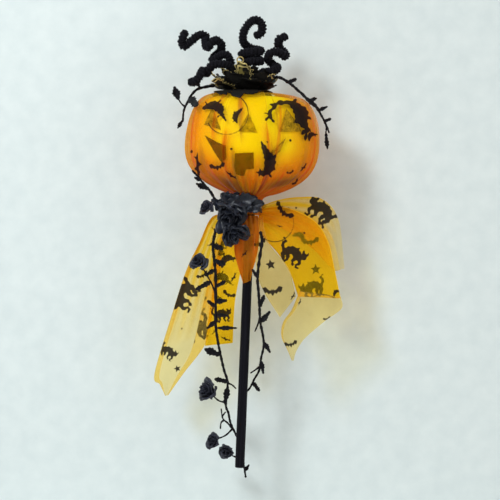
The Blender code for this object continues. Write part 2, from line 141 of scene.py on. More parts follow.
def make_stage():
    """Pale sheet close behind the part and a pale floor under it; the sheet is clear from behind."""
    sheet = Shader("pale_sheet", (0.86, 0.90, 0.89), 0.9)
    sheet.colour_ramp(sheet.noise(60.0, 5.0), ((0.3, (0.66, 0.73, 0.735)), (0.7, (0.72, 0.785, 0.785))))
    clear = sheet.node("BsdfTransparent")
    side = sheet.node("NewGeometry").outputs["Backfacing"]
    sheet.finish_with(sheet.mix_shader(side, sheet.principled.outputs[0], clear.outputs[0]))
    backdrop = make_board("backdrop", sheet.material, (-330, BACKDROP_Y, FLOOR_Z), (660, 0, 0), (0, 0, 580))
    backdrop.visible_shadow = False
    ground = Shader("pale_floor", (0.83, 0.86, 0.86), 0.85)
    ground.colour_ramp(ground.noise(25.0, 4.0), ((0.3, (0.80, 0.83, 0.83)), (0.7, (0.86, 0.88, 0.88))))
    floor = make_board("floor", ground.material, (-900, -900, FLOOR_Z), (1800, 0, 0), (0, 1800, 0))


# ---- materials

class Shader:
    """A material and short calls for the nodes that it is made of."""

    def __init__(self, name, colour, roughness, **inputs):
        self.material = bpy.data.materials.new(name)
        self.material.use_nodes = True
        self.tree = self.material.node_tree
        self.principled = self.tree.nodes["Principled BSDF"]
        self.look(base_color=colour, roughness=roughness, **inputs)

    def set(self, node, key, value):
        socket = node.inputs[key]
        if isinstance(value, bpy.types.NodeSocket):
            self.tree.links.new(value, socket)
        elif socket.type == "RGBA":
            socket.default_value = (*value, 1)
        else:
            socket.default_value = value

    def look(self, **inputs):
        """Set inputs of the main shader, with names such as base_color or specular_ior_level."""
        for key, value in inputs.items():
            self.set(self.principled, key.replace("_", " ").title().replace("Ior", "IOR"), value)

    def node(self, kind, inputs=None, **settings):
        made = self.tree.nodes.new("ShaderNode" + kind)
        for key, value in settings.items():
            setattr(made, key, value)
        for key, value in (inputs or {}).items():
            self.set(made, key, value)
        return made

    def place(self):
        return self.node("TexCoord").outputs["Object"]

    def axis(self, vector, name):
        return self.node("SeparateXYZ", {0: vector}).outputs[name]

    def noise(self, scale, detail, stretch=(1, 1, 1)):
        spot = self.node("VectorMath", {0: self.place(), 1: stretch}, operation="MULTIPLY").outputs[0]
        return self.node("TexNoise", {"Vector": spot, "Scale": scale, "Detail": detail}).outputs["Fac"]

    def cells(self, scale, output):
        return self.node("TexVoronoi", {"Vector": self.place(), "Scale": scale}).outputs[output]

    def math(self, operation, *values):
        return self.node("Math", dict(enumerate(values)), operation=operation).outputs[0]

    def value(self, attribute):
        return self.node("Attribute", attribute_name=attribute).outputs["Fac"]

    def step(self, value, low, high):
        """0 below low, 1 above high, and straight between them."""
        return self.node("MapRange", {"Value": value, "From Min": low, "From Max": high}).outputs[0]

    def ramp(self, value, stops):
        made = self.node("ValToRGB", {"Fac": value})
        points = made.color_ramp.elements
        while len(points) < len(stops):
            points.new(0.5)
        for point, (spot, colour) in zip(points, stops):
            point.position = spot
            point.color = (*colour, 1)
        return made.outputs["Color"]

    def colour_ramp(self, value, stops):
        self.look(base_color=self.ramp(value, stops))

    def mix_colour(self, share, first, second):
        return self.node("Mix", {0: share, 6: first, 7: second}, data_type="RGBA").outputs[2]

    def mix_shader(self, share, first, second):
        return self.node("MixShader", {0: share, 1: first, 2: second}).outputs[0]

    def bump(self, height, depth, strength):
        made = self.node("Bump", {"Height": height, "Distance": depth, "Strength": strength})
        self.look(normal=made.outputs[0])

    def threads(self, pitch):
        """Two crossing sets of threads from the weave map, 1 on a thread and 0 in a hole."""
        spot = self.node("UVMap", uv_map="weave").outputs[0]
        turns = [self.math("MULTIPLY", self.axis(spot, axis), math.pi / (pitch * MM)) for axis in "XY"]
        return self.math("MAXIMUM", *(self.math("ABSOLUTE", self.math("SINE", turn)) for turn in turns))

    def finish_with(self, surface):
        self.tree.links.new(surface, self.tree.nodes["Material Output"].inputs["Surface"])


def grained(name, colour, roughness, grain, stops, bump, **inputs):
    """Material whose colour and relief follow one noise; returns the material and the noise."""
    made = Shader(name, colour, roughness, **inputs)
    fibre = made.noise(*grain)
    made.colour_ramp(fibre, stops)
    made.bump(fibre, *bump)
    return made, fibre


def painted_wood():
    made, grain = grained("painted_wood", (0.006, 0.006, 0.009), 0.5, (420.0, 4.0, (1, 1, 0.03)),
                          ((0.25, (0.0025, 0.0025, 0.004)), (0.75, (0.009, 0.0085, 0.013))),
                          (0.0002, 0.6), specular_ior_level=0.06)
    made.look(roughness=made.step(grain, -0.4, 1.6))
    return made.material


def pumpkin_foam():
    """Orange craft foam with painted light and shade: yellow on the upper middle, darker and redder
    underneath and to the sides.
    """
    made = Shader("pumpkin_foam", (0.95, 0.55, 0.02), 0.62)
    # Painted light and shade: lighter and yellower up top, darker and redder at the bottom and towards the
    # sides
    low = made.step(made.axis(made.place(), "Z"), 0.272, 0.318)
    side = made.step(made.math("ABSOLUTE", made.axis(made.place(), "X")), 0.022, 0.066)
    mottle = made.math("MULTIPLY", made.noise(38.0, 4.0), 0.3)
    shade = made.math("ADD", made.math("MULTIPLY", low, 0.85), mottle)
    shade = made.math("SUBTRACT", shade, made.math("MULTIPLY", side, 0.42))
    made.colour_ramp(shade, ((0.06, (0.36, 0.03, 0.004)), (0.36, (0.95, 0.27, 0.01)),
                             (0.77, (1.0, 0.64, 0.01)), (1.0, (1.0, 0.93, 0.01))))
    made.bump(made.cells(700.0, "Distance"), 0.0003, 0.5)
    return made.material


def glitter_felt(name, dark, pale):
    made = Shader(name, dark, 0.85, sheen_weight=0.3, sheen_roughness=0.5)
    fibre = made.math("ADD", made.math("MULTIPLY", made.noise(900.0, 5.0), 0.5),
                      made.math("MULTIPLY", made.noise(170.0, 4.0), 0.5))
    made.colour_ramp(fibre, ((0.38, dark), (0.60, pale)))
    spark = made.math("GREATER_THAN", made.axis(made.cells(1600.0, "Color"), "X"), 0.86)
    made.look(metallic=made.math("MULTIPLY", spark, 0.8), roughness=made.step(spark, 2.2, -0.2))
    made.bump(fibre, 0.0006, 0.8)
    return made.material


def sheer(name, cover, tint, deep, cloth, dense):
    """Printed organza: see-through and tinted, denser at its edges and where it is gathered, with painted
    shade in its creases and hollows.
    """
    made = Shader(name, cloth, 0.42, sheen_weight=0.25, sheen_roughness=0.35, specular_ior_level=0.3)
    gather_and_shade = made.value("gather_and_shade")
    painted_hollow_shade = made.value("painted_hollow_shade")
    weave = made.threads(0.42)
    # Deeper colour where gathered and where crease and side shade is painted, and red-brown painted shade in
    # the hollows between folds
    through = made.mix_colour(painted_hollow_shade, made.mix_colour(gather_and_shade, tint, deep), (0.42, 0.07, 0.01))
    clear = made.node("BsdfTransparent", {"Color": through})
    colour = made.mix_colour(painted_hollow_shade, made.mix_colour(gather_and_shade, cloth, dense), (0.20, 0.035, 0.006))
    made.look(base_color=colour)
    made.bump(weave, 0.00008, 0.5)
    glow = made.node("BsdfTranslucent", {"Color": colour})
    body = made.mix_shader(0.45, made.principled.outputs[0], glow.outputs[0])
    share = made.math("MULTIPLY_ADD", made.math("SUBTRACT", weave, 0.64), 0.12, cover)
    streak = made.math("SUBTRACT", made.noise(160.0, 3.0), 0.5)
    # The cloth covers more with random streaks, gathering with painted shade, its edges, and painted shade in
    # the hollows
    for extra, strength in ((streak, 0.10), (gather_and_shade, 0.35), (made.step(made.value("edge"), 0.9, 0.4), 0.30),
                            (painted_hollow_shade, 0.70)):
        share = made.math("MULTIPLY_ADD", extra, strength, share)
    share = made.math("MULTIPLY", share, made.step(made.value("pressed"), 1.5, 0.0))
    ink = made.node("BsdfDiffuse", {"Color": (0.012, 0.009, 0.012)})
    printed = made.math("MULTIPLY", made.step(made.value("ink"), -0.22, 0.22), 0.95)
    cloth_part = made.mix_shader(share, clear.outputs[0], body)
    made.finish_with(made.mix_shader(printed, cloth_part, ink.outputs[0]))
    return made.material


def satin(name, dark, pale, roughness):
    made, _ = grained(name, dark, roughness, (520.0, 4.0, (1, 1, 0.35)), ((0.3, dark), (0.75, pale)),
                      (0.0002, 0.5), sheen_weight=0.2, sheen_roughness=0.3,
                      sheen_tint=(0.62, 0.66, 0.95), specular_ior_level=0.3)
    return made.material


def crepe_paper():
    made, _ = grained("crepe_paper", (0.006, 0.006, 0.008), 0.6, (800.0, 5.0, (1, 1, 0.4)),
                      ((0.3, (0.003, 0.003, 0.004)), (0.75, (0.012, 0.011, 0.015))), (0.0003, 0.7),
                      specular_ior_level=0.1)
    return made.material


def gilded_satin():
    """Black petals with two gold lines round a gilded one, and olive-gold dust on the most gilded."""
    made = Shader("gilded_satin", (0.005, 0.005, 0.005), 0.55, specular_ior_level=0.12)
    gild = made.value("gild")
    rim = made.value("rim")
    dust = made.math("MULTIPLY", made.step(made.noise(230.0, 5.0), 0.5, 0.62), made.step(gild, 1.0, 1.5))
    fibre = made.noise(650.0, 4.0)
    base = made.ramp(fibre, ((0.3, (0.003, 0.003, 0.003)), (0.75, (0.011, 0.010, 0.008))))
    olive = made.mix_colour(dust, base, (0.16, 0.13, 0.035))
    inner = made.step(made.math("ABSOLUTE", made.math("SUBTRACT", rim, 2.4)), 0.5, 0.25)
    lines = made.math("MAXIMUM", made.step(rim, 0.85, 0.5), inner)
    gold = made.math("MULTIPLY", lines, made.step(gild, 0.3, 0.9))
    made.look(base_color=made.mix_colour(gold, olive, (0.62, 0.50, 0.20)),
              metallic=made.math("MULTIPLY", gold, 0.7))
    made.bump(fibre, 0.0003, 0.6)
    return made.material


def gold_wire():
    made = Shader("gold_wire", (0.55, 0.43, 0.16), 0.35, metallic=0.85)
    wear = made.noise(900.0, 4.0)
    made.colour_ramp(wear, ((0.35, (0.22, 0.17, 0.06)), (0.6, (0.72, 0.58, 0.25))))
    made.look(roughness=made.step(wear, 1.4, 0.1))
    return made.material


def chenille_pile():
    made = Shader("chenille_pile", (0.004, 0.004, 0.006), 0.9, sheen_weight=0.06, sheen_roughness=0.6,
                  sheen_tint=(0.5, 0.5, 0.62), specular_ior_level=0.1)
    # Painted shade: darker where the fibre is short and between the turns of its ridge, lighter on the long
    # fibre ends
    made.colour_ramp(made.value("pile"), ((0.1, (0.0015, 0.0015, 0.002)), (0.9, (0.011, 0.010, 0.015))))
    made.bump(made.noise(2500.0, 2.0), 0.0003, 0.5)
    return made.material


# ---- meshes

def make_object(name, patches, surface, values=None, weave=None, weld=False, thickness=0.0):
    """Object from grids of points in millimetres; a patch is (points, True if its columns close)."""
    spots, faces, offset = [], [], 0
    for points, closed in patches:
        rows, columns = points.shape[:2]
        index = np.arange(rows * columns).reshape(rows, columns) + offset
        if closed:
            index = np.column_stack([index, index[:, 0]])
        quads = (index[:-1, :-1], index[:-1, 1:], index[1:, 1:], index[1:, :-1])
        faces.append(np.stack(quads, -1).reshape(-1, 4))
        spots.append(points.reshape(-1, 3))
        offset += rows * columns
    mesh = bpy.data.meshes.new(name)
    mesh.from_pydata((np.concatenate(spots) * MM).tolist(), [], np.concatenate(faces).tolist())
    for key, numbers in (values or {}).items():
        layer = mesh.attributes.new(key, "FLOAT", "POINT")
        layer.data.foreach_set("value", np.ascontiguousarray(numbers, dtype=np.float32).ravel())
    if weave is not None:
        corners = np.empty(len(mesh.loops), dtype=np.int32)
        mesh.loops.foreach_get("vertex_index", corners)
        spread = np.asarray(weave, dtype=np.float32).reshape(-1, 2)[corners] * MM
        mesh.uv_layers.new(name="weave").data.foreach_set("uv", spread.ravel())
    if weld:
        data = bmesh.new()
        data.from_mesh(mesh)
        bmesh.ops.remove_doubles(data, verts=data.verts[:], dist=0.004 * MM)
        bmesh.ops.recalc_face_normals(data, faces=data.faces[:])
        data.to_mesh(mesh)
        data.free()
    mesh.shade_smooth()
    mesh.materials.append(surface)
    made = link(name, mesh)
    if thickness:
        solid = made.modifiers.new("thickness", "SOLIDIFY")
        solid.thickness = thickness * MM
        solid.offset = 0.0
    return made


def put(made, body="root", nodes=()):
    """Fix a piece to its body and the CAD nodes that it stands for."""
    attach(made, body)
    if nodes:
        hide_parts(*nodes)
    return made


def unit(vector):
    vector = np.asarray(vector, dtype=float)
    return vector / np.linalg.norm(vector)


def ease(value, start, end):
    """0 at the start, 1 at the end, straight between them and level outside."""
    return np.clip((value - start) / (end - start), 0, 1)


def turn_from(angle, direction):
    """Angle from a direction, from -180 to 180 degrees."""
    return (angle - direction + 180) % 360 - 180


def smooth_path(points, count):
    """Count points along a Catmull-Rom curve through the given points."""
    given = np.asarray(points, dtype=float)
    given = np.vstack([2 * given[0] - given[1], given, 2 * given[-1] - given[-2]])
    place = np.linspace(0, len(given) - 3, count)
    span = np.minimum(place.astype(int), len(given) - 4)
    t = (place - span)[:, None]
    a, b, c, d = (given[span + k] for k in range(4))
    return 0.5 * (2 * b + (c - a) * t + (2 * a - 5 * b + 4 * c - d) * t ** 2
                  + (3 * b - a - 3 * c + d) * t ** 3)


def path_travel(path):
    """Distance along a path to each of its points."""
    return np.concatenate([[0], np.cumsum(np.linalg.norm(np.diff(path, axis=0), axis=1))])


def tube_patch(path, radii, sides, lobes=0, lobe_depth=0.0, twist=0.0):
    """Closed tube round a path with rounded ends; lobes and twist make it look spun."""
    ahead = [unit(step) for step in np.gradient(path, axis=0)]
    side = np.cross(ahead[0], (0.31, 0.52, 0.79))
    turns = 2 * np.pi * np.arange(sides) / sides
    rings = [np.repeat((path[0] - ahead[0] * radii[0] * 0.7)[None], sides, axis=0)]
    for point, along, radius, travel in zip(path, ahead, radii, path_travel(path)):
        side = unit(side - along * (side @ along))
        reach = radius * (1 + lobe_depth * np.cos(lobes * (turns + twist * travel)))
        spoke = np.cos(turns)[:, None] * side + np.sin(turns)[:, None] * np.cross(along, side)
        rings.append(point + reach[:, None] * spoke)
    rings.append(np.repeat((path[-1] + ahead[-1] * radii[-1] * 0.7)[None], sides, axis=0))
    return np.array(rings), True


def facing_frame(facing):
    """Three axes, the last of which is facing."""
    forward = unit(facing)
    side = unit(np.cross((0.12, 0.2, 1.0), forward))
    return np.array([side, np.cross(forward, side), forward])


# ---- prints

LINE_HALF = 0.45
OFF_PRINT = -5.0

# Outlines one unit wide, in (across, up)
HALF_BAT = ((0, 0.06), (0.04, 0.15), (0.08, 0.06), (0.18, 0.10), (0.32, 0.26), (0.5, 0.20),
            (0.44, 0.02), (0.36, -0.06), (0.28, 0.0), (0.18, -0.12), (0.1, -0.04), (0, -0.22))
OUTLINES = {
    "bat": [*HALF_BAT, *((-x, z) for x, z in reversed(HALF_BAT) if x)],
    "star": [((0.5, 0.2)[k % 2] * math.sin(math.pi * k / 5), (0.5, 0.2)[k % 2] * math.cos(math.pi * k / 5))
             for k in range(10)],
    "branch": ((-0.5, 0.1), (-0.2, 0.04), (-0.1, 0.16), (-0.04, 0.03), (0.2, 0.0), (0.34, 0.10),
               (0.30, -0.02), (0.5, -0.10), (0.1, -0.08), (-0.02, -0.2), (-0.08, -0.06), (-0.3, -0.03)),
}

# Figures drawn with tapered strokes through (across, up, half width), in hundredths of their width
FIGURES = {
    "cat": (((-27, 3, 13), (-10, 15, 15), (10, 13, 14), (25, 6, 12)), ((26, 8, 11), (38, 15, 12)),
        ((32, 20, 5), (29, 34, 0.8)), ((44, 20, 5), (48, 33, 0.8)),
        ((25, 0, 9), (33, -13, 5.5), (27, -27, 4.2), (36, -33, 3)),
        ((15, -2, 8), (8, -16, 5), (15, -31, 3.6)),
        ((-27, 0, 12), (-33, -13, 6.5), (-24, -22, 5), (-33, -33, 3.5)),
        ((-19, 0, 9), (-12, -15, 5.5), (-17, -32, 3.6)),
        ((-36, 8, 6), (-47, 19, 5), (-43, 34, 4.5), (-53, 44, 2)), ((-5, 26, 4), (-2, 36, 0.8)),
        ((8, 24, 4), (12, 34, 0.8))),
    "arch": (((-50, -6, 2), (-43, 8, 4.5), (-39, 20, 4), (-30, 33, 4.5), (-14, 42, 5), (6, 43, 6),
        (20, 36, 11), (34, 22, 17), (37, 6, 15), (44, -10, 8), (50, -24, 5), (46, -46, 2.2)),
        ((-43, 8, 4), (-55, 12, 0.8)), ((-40, 0, 4), (-32, -8, 0.8)), ((46, 12, 7), (60, 8, 1)),
        ((46, -10, 5), (60, -22, 1)), ((28, 2, 7), (18, -4, 3)), ((16, 44, 5), (22, 58, 1)),
        ((-34, 30, 4), (-44, 36, 0.8)), ((44, -24, 5), (36, -36, 1.2))),
    "sit": (((-15, 38, 6), (-10, 29, 9), (-2, 14, 12), (7, -6, 16), (2, -27, 13), (-12, -42, 4)),
        ((-17, 40, 2.5), (-21, 52, 0.5)), ((-10, 40, 2.5), (-7, 50, 0.5)),
        ((4, 6, 6), (18, 10, 3.5), (25, 24, 1)), ((10, -18, 5), (22, -26, 1)), ((0, -32, 5), (12, -46, 1.2))),
    "leap": (((-46, 10, 3), (-26, 20, 12), (2, 22, 18), (22, 8, 16), (30, -14, 8), (48, -38, 2.5)),
        ((14, 32, 5), (24, 46, 1)), ((30, -10, 4), (14, -26, 1)), ((-26, 24, 4), (-36, 38, 0.8)),
        ((34, -16, 4), (52, -16, 1))),
}


def outline_distance(spots, outline):
    """Distance of each (x, z) spot inside a closed outline, negative outside."""
    outline = np.asarray(outline, dtype=float)
    nearest = np.full(len(spots), 1e9)
    inside = np.zeros(len(spots), dtype=bool)
    for start, end in zip(outline, np.roll(outline, -1, axis=0)):
        edge = end - start
        share = np.clip((spots - start) @ edge / (edge @ edge), 0, 1)
        nearest = np.minimum(nearest, np.linalg.norm(spots - start - share[:, None] * edge, axis=1))
        crosses = (start[1] > spots[:, 1]) != (end[1] > spots[:, 1])
        reach = start[0] + (spots[:, 1] - start[1]) * edge[0] / (edge[1] or 1.0)
        inside ^= crosses & (spots[:, 0] < reach)
    return np.where(inside, nearest, -nearest)


def stroke_distance(spots, strokes):
    """Distance of each (x, z) spot inside the nearest of some tapered strokes, negative outside."""
    field = np.full(len(spots), -1e9)
    for stroke in strokes:
        for x, z, reach in smooth_path(np.array(stroke) / 100, 8 * len(stroke)):
            field = np.maximum(field, max(reach, 0.0) - np.hypot(spots[:, 0] - x, spots[:, 1] - z))
    return field


def arc_distance(away, radius, start, end):
    """Depth inside a thin line round part of a circle, from one direction to another in degrees."""
    line = LINE_HALF - np.abs(np.linalg.norm(away, axis=1) - radius)
    direction = (np.degrees(np.arctan2(away[:, 1], away[:, 0])) - start) % 360
    return np.where(direction <= end - start, line, OFF_PRINT)


def motif_distance(spots, kind, x, z, size, turn=0.0, flip=1):
    away = spots - (x, z)
    if kind == "arc":
        return arc_distance(away, size, turn, flip)
    if kind == "dot":
        return size - np.linalg.norm(away, axis=1)
    angle = math.radians(turn)
    spin = np.array(((math.cos(angle), -math.sin(angle)), (math.sin(angle), math.cos(angle))))
    local = away @ spin * (flip / size, 1 / size)
    if kind in FIGURES:
        ragged = np.sin(31 * local[:, 0] + 17 * local[:, 1]) + np.sin(23 * local[:, 0] - 41 * local[:, 1])
        return size * (stroke_distance(local, FIGURES[kind]) + 0.012 * ragged)
    return size * outline_distance(local, OUTLINES[kind])


def ink_field(points, motifs):
    """Depth in millimetres inside the nearest printed motif, negative off the print."""
    spots = points.reshape(-1, 3)[:, (0, 2)]
    field = np.full(len(spots), OFF_PRINT)
    for kind, x, z, size, *rest in motifs:
        near = np.flatnonzero(np.linalg.norm(spots - (x, z), axis=1) < size * 1.2 + 3)
        if len(near):
            field[near] = np.maximum(field[near], motif_distance(spots[near], kind, x, z, size, *rest))
    return field.reshape(points.shape[:2])


def crumple(points, scale, seed):
    """Creased noise, 0 to 1, at each point of a grid; scale is the size of a crease in millimetres."""
    shift = Vector((seed * 7.3, seed * 3.1, seed * 5.7))
    flat = [1.0 - 2.0 * abs(noise.noise(Vector(p) / scale + shift)) for p in points.reshape(-1, 3)]
    return np.array(flat).reshape(points.shape[:2])


# ---- pumpkin

def head_width(up):
    """Width of the head as a share of its widest, at heights from -1, the bottom, to 1, the top."""
    power = np.where(up >= 0, CROWN_FULLNESS, BASE_FULLNESS[0] - BASE_FULLNESS[1] * up)
    return np.maximum(0.0, 1 - up ** 2) ** (power / 2)


def head_rows(inset, first_radius, last_radius, count):
    """Half sizes and heights of the head, inset from the wrap, from its top opening to its bottom one."""
    half_x, half_y, half_z = (size - inset for size in WRAP_HALF)
    start = math.asin((first_radius / half_x) ** (1 / CROWN_FULLNESS))
    end = math.pi - math.asin((last_radius / half_x) ** (1 / sum(BASE_FULLNESS)))
    up = np.cos(start + (end - start) * np.linspace(0, 1, count) ** 1.3)
    wide = head_width(up)
    round_half = half_x + (half_y - half_x) * np.minimum(1.0, wide * 1.6)
    height = HEAD_HEIGHT + up * np.where(up > 0, CROWN_HEIGHT - inset, half_z)
    rows = np.column_stack([half_x * wide, round_half * wide, height])
    rows[0, :2], rows[-1, :2] = first_radius, last_radius
    return rows


def ring_grid(rows, columns, swell):
    """Grid of points round a vertical axis; column 0 is at the back, the middle one at the front."""
    turn = 2 * np.pi * np.arange(columns) / columns
    return np.stack([-rows[:, 0, None] * np.sin(turn) * swell, rows[:, 1, None] * np.cos(turn) * swell,
                     np.repeat(rows[:, 2, None], columns, axis=1)], -1)


def make_pumpkin():
    skin = head_rows(FOAM_INSET, DIMPLE_RADIUS, BORE_RADIUS, 90)
    top = skin[0]
    cup = [(top[0] * share, top[1] * share, top[2] - DIMPLE_DEPTH * (1 - share ** 2))
           for share in (0.0, 0.4, 0.75)]
    bore = [(BORE_RADIUS, BORE_RADIUS, 300.0), (BORE_RADIUS, BORE_RADIUS, BORE_TOP), (0.0, 0.0, BORE_TOP)]
    rows = np.vstack([cup, skin, bore])
    turn = 2 * np.pi * np.arange(HEAD_COLUMNS) / HEAD_COLUMNS
    wide = np.clip(rows[:, 0, None] / WRAP_HALF[0], 0, 1) ** 2
    groove = np.abs(np.cos(RIB_COUNT * turn / 2)) ** 0.6
    swell = 1 - wide * 0.032 * (1 - groove) + wide * 0.004 * np.sin(3 * turn + 1.0)
    grid = ring_grid(rows, HEAD_COLUMNS, swell)
    pumpkin = make_object("foam_pumpkin", [(grid, True)], pumpkin_foam(), weld=True)
    put(pumpkin, nodes=["pumpkin"])


def head_depth(x, z, inset):
    half_x, half_y, half_z = (size - inset for size in WRAP_HALF)
    rise = z - HEAD_HEIGHT
    wide = head_width(rise / np.where(rise > 0, CROWN_HEIGHT - inset, half_z))
    return half_y * wide * np.sqrt(np.maximum(1 - (x / (half_x * wide)) ** 2, 0.0))


def felt_patch(outline, seed):
    """Closed felt shape from its middle out to its cut edge and back underneath."""
    corners = np.asarray(outline, dtype=float)
    border = []
    for start, end in zip(corners, np.roll(corners, -1, axis=0)):
        border += [start + (end - start) * k / 12 for k in range(12)]
    border = np.array(border)
    border += np.array([noise.noise_vector(Vector((*spot, seed)) * 0.9)[:2] for spot in border]) * 0.4
    middle = corners.mean(axis=0)
    stations = ((0, 1.35), (0.25, 1.35), (0.5, 1.35), (0.75, 1.33), (0.93, 1.25), (1.0, 0.95),
                (0.99, 0.6), (0.6, 0.6), (0, 0.6))
    rows = []
    for share, lift in stations:
        spots = middle + (border - middle) * share
        depth = head_depth(spots[:, 0], spots[:, 1], FOAM_INSET - lift)
        rows.append(np.column_stack([spots[:, 0], -depth, spots[:, 1]]))
    return np.array(rows), True


FACE = {
    "eye_left": ((-41, 355), (-48.5, 338), (-31.5, 332.5)),
    "eye_right": ((31, 356.5), (25, 332.5), (47.5, 335)),
    "nose": ((-5.5, 349.5), (-14.5, 331), (4, 330.5)),
    "mouth_left": ((-47.5, 327.5), (-35.5, 321), (-26, 317), (-25, 305.5), (-29, 300), (-36.5, 310)),
    "mouth_centre": ((-17, 310), (1, 311.5), (2, 296), (-5.5, 295), (-7.5, 288.5), (-15, 290.5), (-17, 297)),
    "mouth_right": ((32, 328), (26.5, 314), (19.5, 305.5), (12.5, 304.5), (16.5, 312), (23, 318)),
}


def make_face():
    olive = glitter_felt("olive_felt", (0.15, 0.10, 0.018), (0.58, 0.40, 0.07))
    # Darker copy of the felt for the left and middle mouth pieces: painted shade, and the extra ribbon layers
    # over them
    brown = glitter_felt("brown_felt", (0.035, 0.008, 0.002), (0.17, 0.04, 0.006))
    for seed, (name, outline) in enumerate(FACE.items()):
        surface = brown if name in ("mouth_left", "mouth_centre") else olive
        piece = make_object("felt_" + name, [felt_patch(outline, seed)], surface, weld=True)
        put(piece, nodes=[name])


# Wrap pleats: direction from the front towards +X in degrees, half width, height, where each starts
PLEATS = (
    (10, 5, 4.2, 0.3), (-25, 6, 3.0, 0.4), (27, 6, 2.0, 0.5), (44, 7, 1.6, 0.55), (-40, 6, 1.8, 0.55),
    (-58, 8, 1.8, 0.5), (75, 9, 1.8, 0.4), (-85, 9, 1.8, 0.35), (-8, 4, 1.5, 0.6), (100, 7, 1.6, 0.5),
    (122, 8, 2.2, 0.4), (160, 7, 2.6, 0.35), (-125, 8, 2.0, 0.45), (-160, 7, 2.4, 0.4),
)

# Long creases in the wrap, painted as darker, denser lines of shade: direction in degrees, half width,
# strength, shares of the height
CREASES = (
    (-33, 1.3, 0.55, 0.0, 0.55), (-12, 1.0, 0.45, 0.0, 0.4), (21, 1.2, 0.5, 0.25, 1.0),
    (12, 0.9, 0.7, 0.45, 1.0), (-22, 1.2, 0.6, 0.5, 1.0), (48, 1.4, 0.5, 0.0, 0.35),
    (35, 1.8, 0.65, 0.66, 1.0), (-45, 2.0, 0.65, 0.66, 1.0), (64, 1.3, 0.4, 0.15, 0.9),
    (-68, 1.5, 0.45, 0.1, 0.85), (90, 1.4, 0.4, 0.0, 0.7), (-100, 1.5, 0.45, 0.2, 1.0),
    (135, 1.3, 0.5, 0.1, 0.9), (170, 1.3, 0.5, 0.0, 0.8), (-140, 1.4, 0.5, 0.2, 1.0),
    (-165, 1.2, 0.4, 0.0, 0.6),
)

# Painted shade in the hollows between folds: direction and half width in degrees, height and half height,
# strength
HOLLOWS = (
    (38, 21, 284, 5, 0.85), (-33, 14, 281, 6, 0.85), (13.5, 1.2, 290, 26, 0.8), (-20, 1.3, 292, 20, 0.6),
    (21, 0.9, 342, 24, 0.35), (-12, 0.9, 347, 22, 0.35), (50, 2, 300, 18, 0.45), (-52, 2, 300, 18, 0.55),
    (4, 1.2, 276, 10, 0.6), (-9, 1.2, 278, 10, 0.5), (150, 10, 282, 6, 0.8), (-150, 10, 280, 6, 0.8),
    (-95, 8, 284, 6, 0.6), (95, 8, 284, 6, 0.6), (120, 1.5, 300, 26, 0.6), (-122, 1.5, 300, 24, 0.6),
    (176, 1.4, 295, 26, 0.6),
)

FRONT_PRINTS = (
    ("leap", -39, 351, 25), ("arc", -26, 348, 20.3, 205, 420), ("sit", -16.4, 347, 17, -14, -1),
    ("arch", 32, 345, 40), ("bat", -33.5, 296.5, 16, 8), ("branch", -19.5, 289.5, 15, -24),
    ("sit", 15, 305, 34), ("star", 8.5, 292.5, 10, 12), ("bat", 37.5, 294.5, 8, 20),
    ("branch", 50.5, 301, 13, 62), ("bat", 43.5, 286, 8, 45), ("dot", 36, 325, 1.3),
    ("dot", -20.5, 314, 1.3), ("dot", -60, 312, 1.5), ("branch", -54, 299, 26, 100),
    ("bat", -53, 289, 10, 60), ("dot", 14, 322, 0.9), ("leap", 58, 331, 12, 70),
)
BACK_PRINTS = (
    ("arch", 30, 344, 34, 6, -1), ("arc", -22, 340, 21, 30, 380), ("bat", -28, 346, 20, 12),
    ("star", 4, 316, 13, 8), ("cat", -36, 306, 30, -20, 1), ("bat", 34, 306, 20, -14), ("dot", 8, 350, 1.4),
    ("dot", -6, 330, 1.3), ("star", 52, 330, 10, 30), ("bat", -4, 292, 16, 6), ("leap", -56, 330, 16, 20),
    ("dot", 20, 325, 1.3),
)

# The wrap starts under itself at the first direction and ends over itself at the second, in degrees
WRAP_START = -27.0
WRAP_END = 371.0


def wrap_rows():
    skin = head_rows(0.0, TOP_OPENING, BOTTOM_OPENING, 150)
    low = skin[-1, 2]
    neck = [(13.0, 13.0, low - 2.5), (10.5, 10.5, low - 7.0), (9.7, 9.7, 258.0), (10.2, 10.2, NECK_BOTTOM)]
    return np.vstack([skin[:-1], smooth_path(np.vstack([skin[-1:], neck]), 22)])


def wrap_lift(angle, share):
    """How far the wrap stands off its smooth shape: overlap, pleats, and fine gathers at both ends."""
    travel = (angle - WRAP_START) / (WRAP_END - WRAP_START)
    lift = -0.5 + 1.3 * travel + np.zeros((len(share), len(angle)))
    for direction, width, height, start in PLEATS:
        away = turn_from(angle, direction)
        away = np.where(away > 0, away * 2.6, away) / width
        lift += height * np.maximum(0, 1 - np.abs(away)) ** 1.4 * ease(share, start, 0.85) ** 0.8
    lift += 2.2 * np.exp(-(WRAP_END - angle) / 6.0) * ease(share, 0.35, 0.70)
    spin = np.radians(angle)
    fine = np.sin(spin * 34 + 3 * np.sin(spin * 5))
    lift += 0.9 * fine * ease(share, 0.58, 0.83) + 0.5 * fine * ease(share, 0.16, 0)
    lift += 0.35 * np.sin(spin * 9 + 14 * share)
    return lift, fine


def wrap_gather_and_shade(angle, share, fine):
    """Density of the wrap: gathered at both ends, with painted shade in creases down its height and towards
    the sides.
    """
    gather_and_shade = ease(share, 0.60, 0.86) ** 1.4 * (0.62 - 0.30 * fine) + 0.85 * ease(share, 0.13, 0)
    # Painted shade: denser and darker towards the sides
    gather_and_shade = gather_and_shade + 0.38 * ease(np.abs(turn_from(angle, 0)), 26, 66)
    for direction, width, strength, start, end in CREASES:
        line = turn_from(angle + 3.0 * np.sin(7 * share + direction), direction) / width
        fade = ease(share, start, start + 0.08) * ease(share, end + 0.08, end - 0.04)
        gather_and_shade = gather_and_shade + strength * (np.exp(-line ** 2) + 0.35 * np.exp(-(line / 4) ** 2)) * fade
    return gather_and_shade


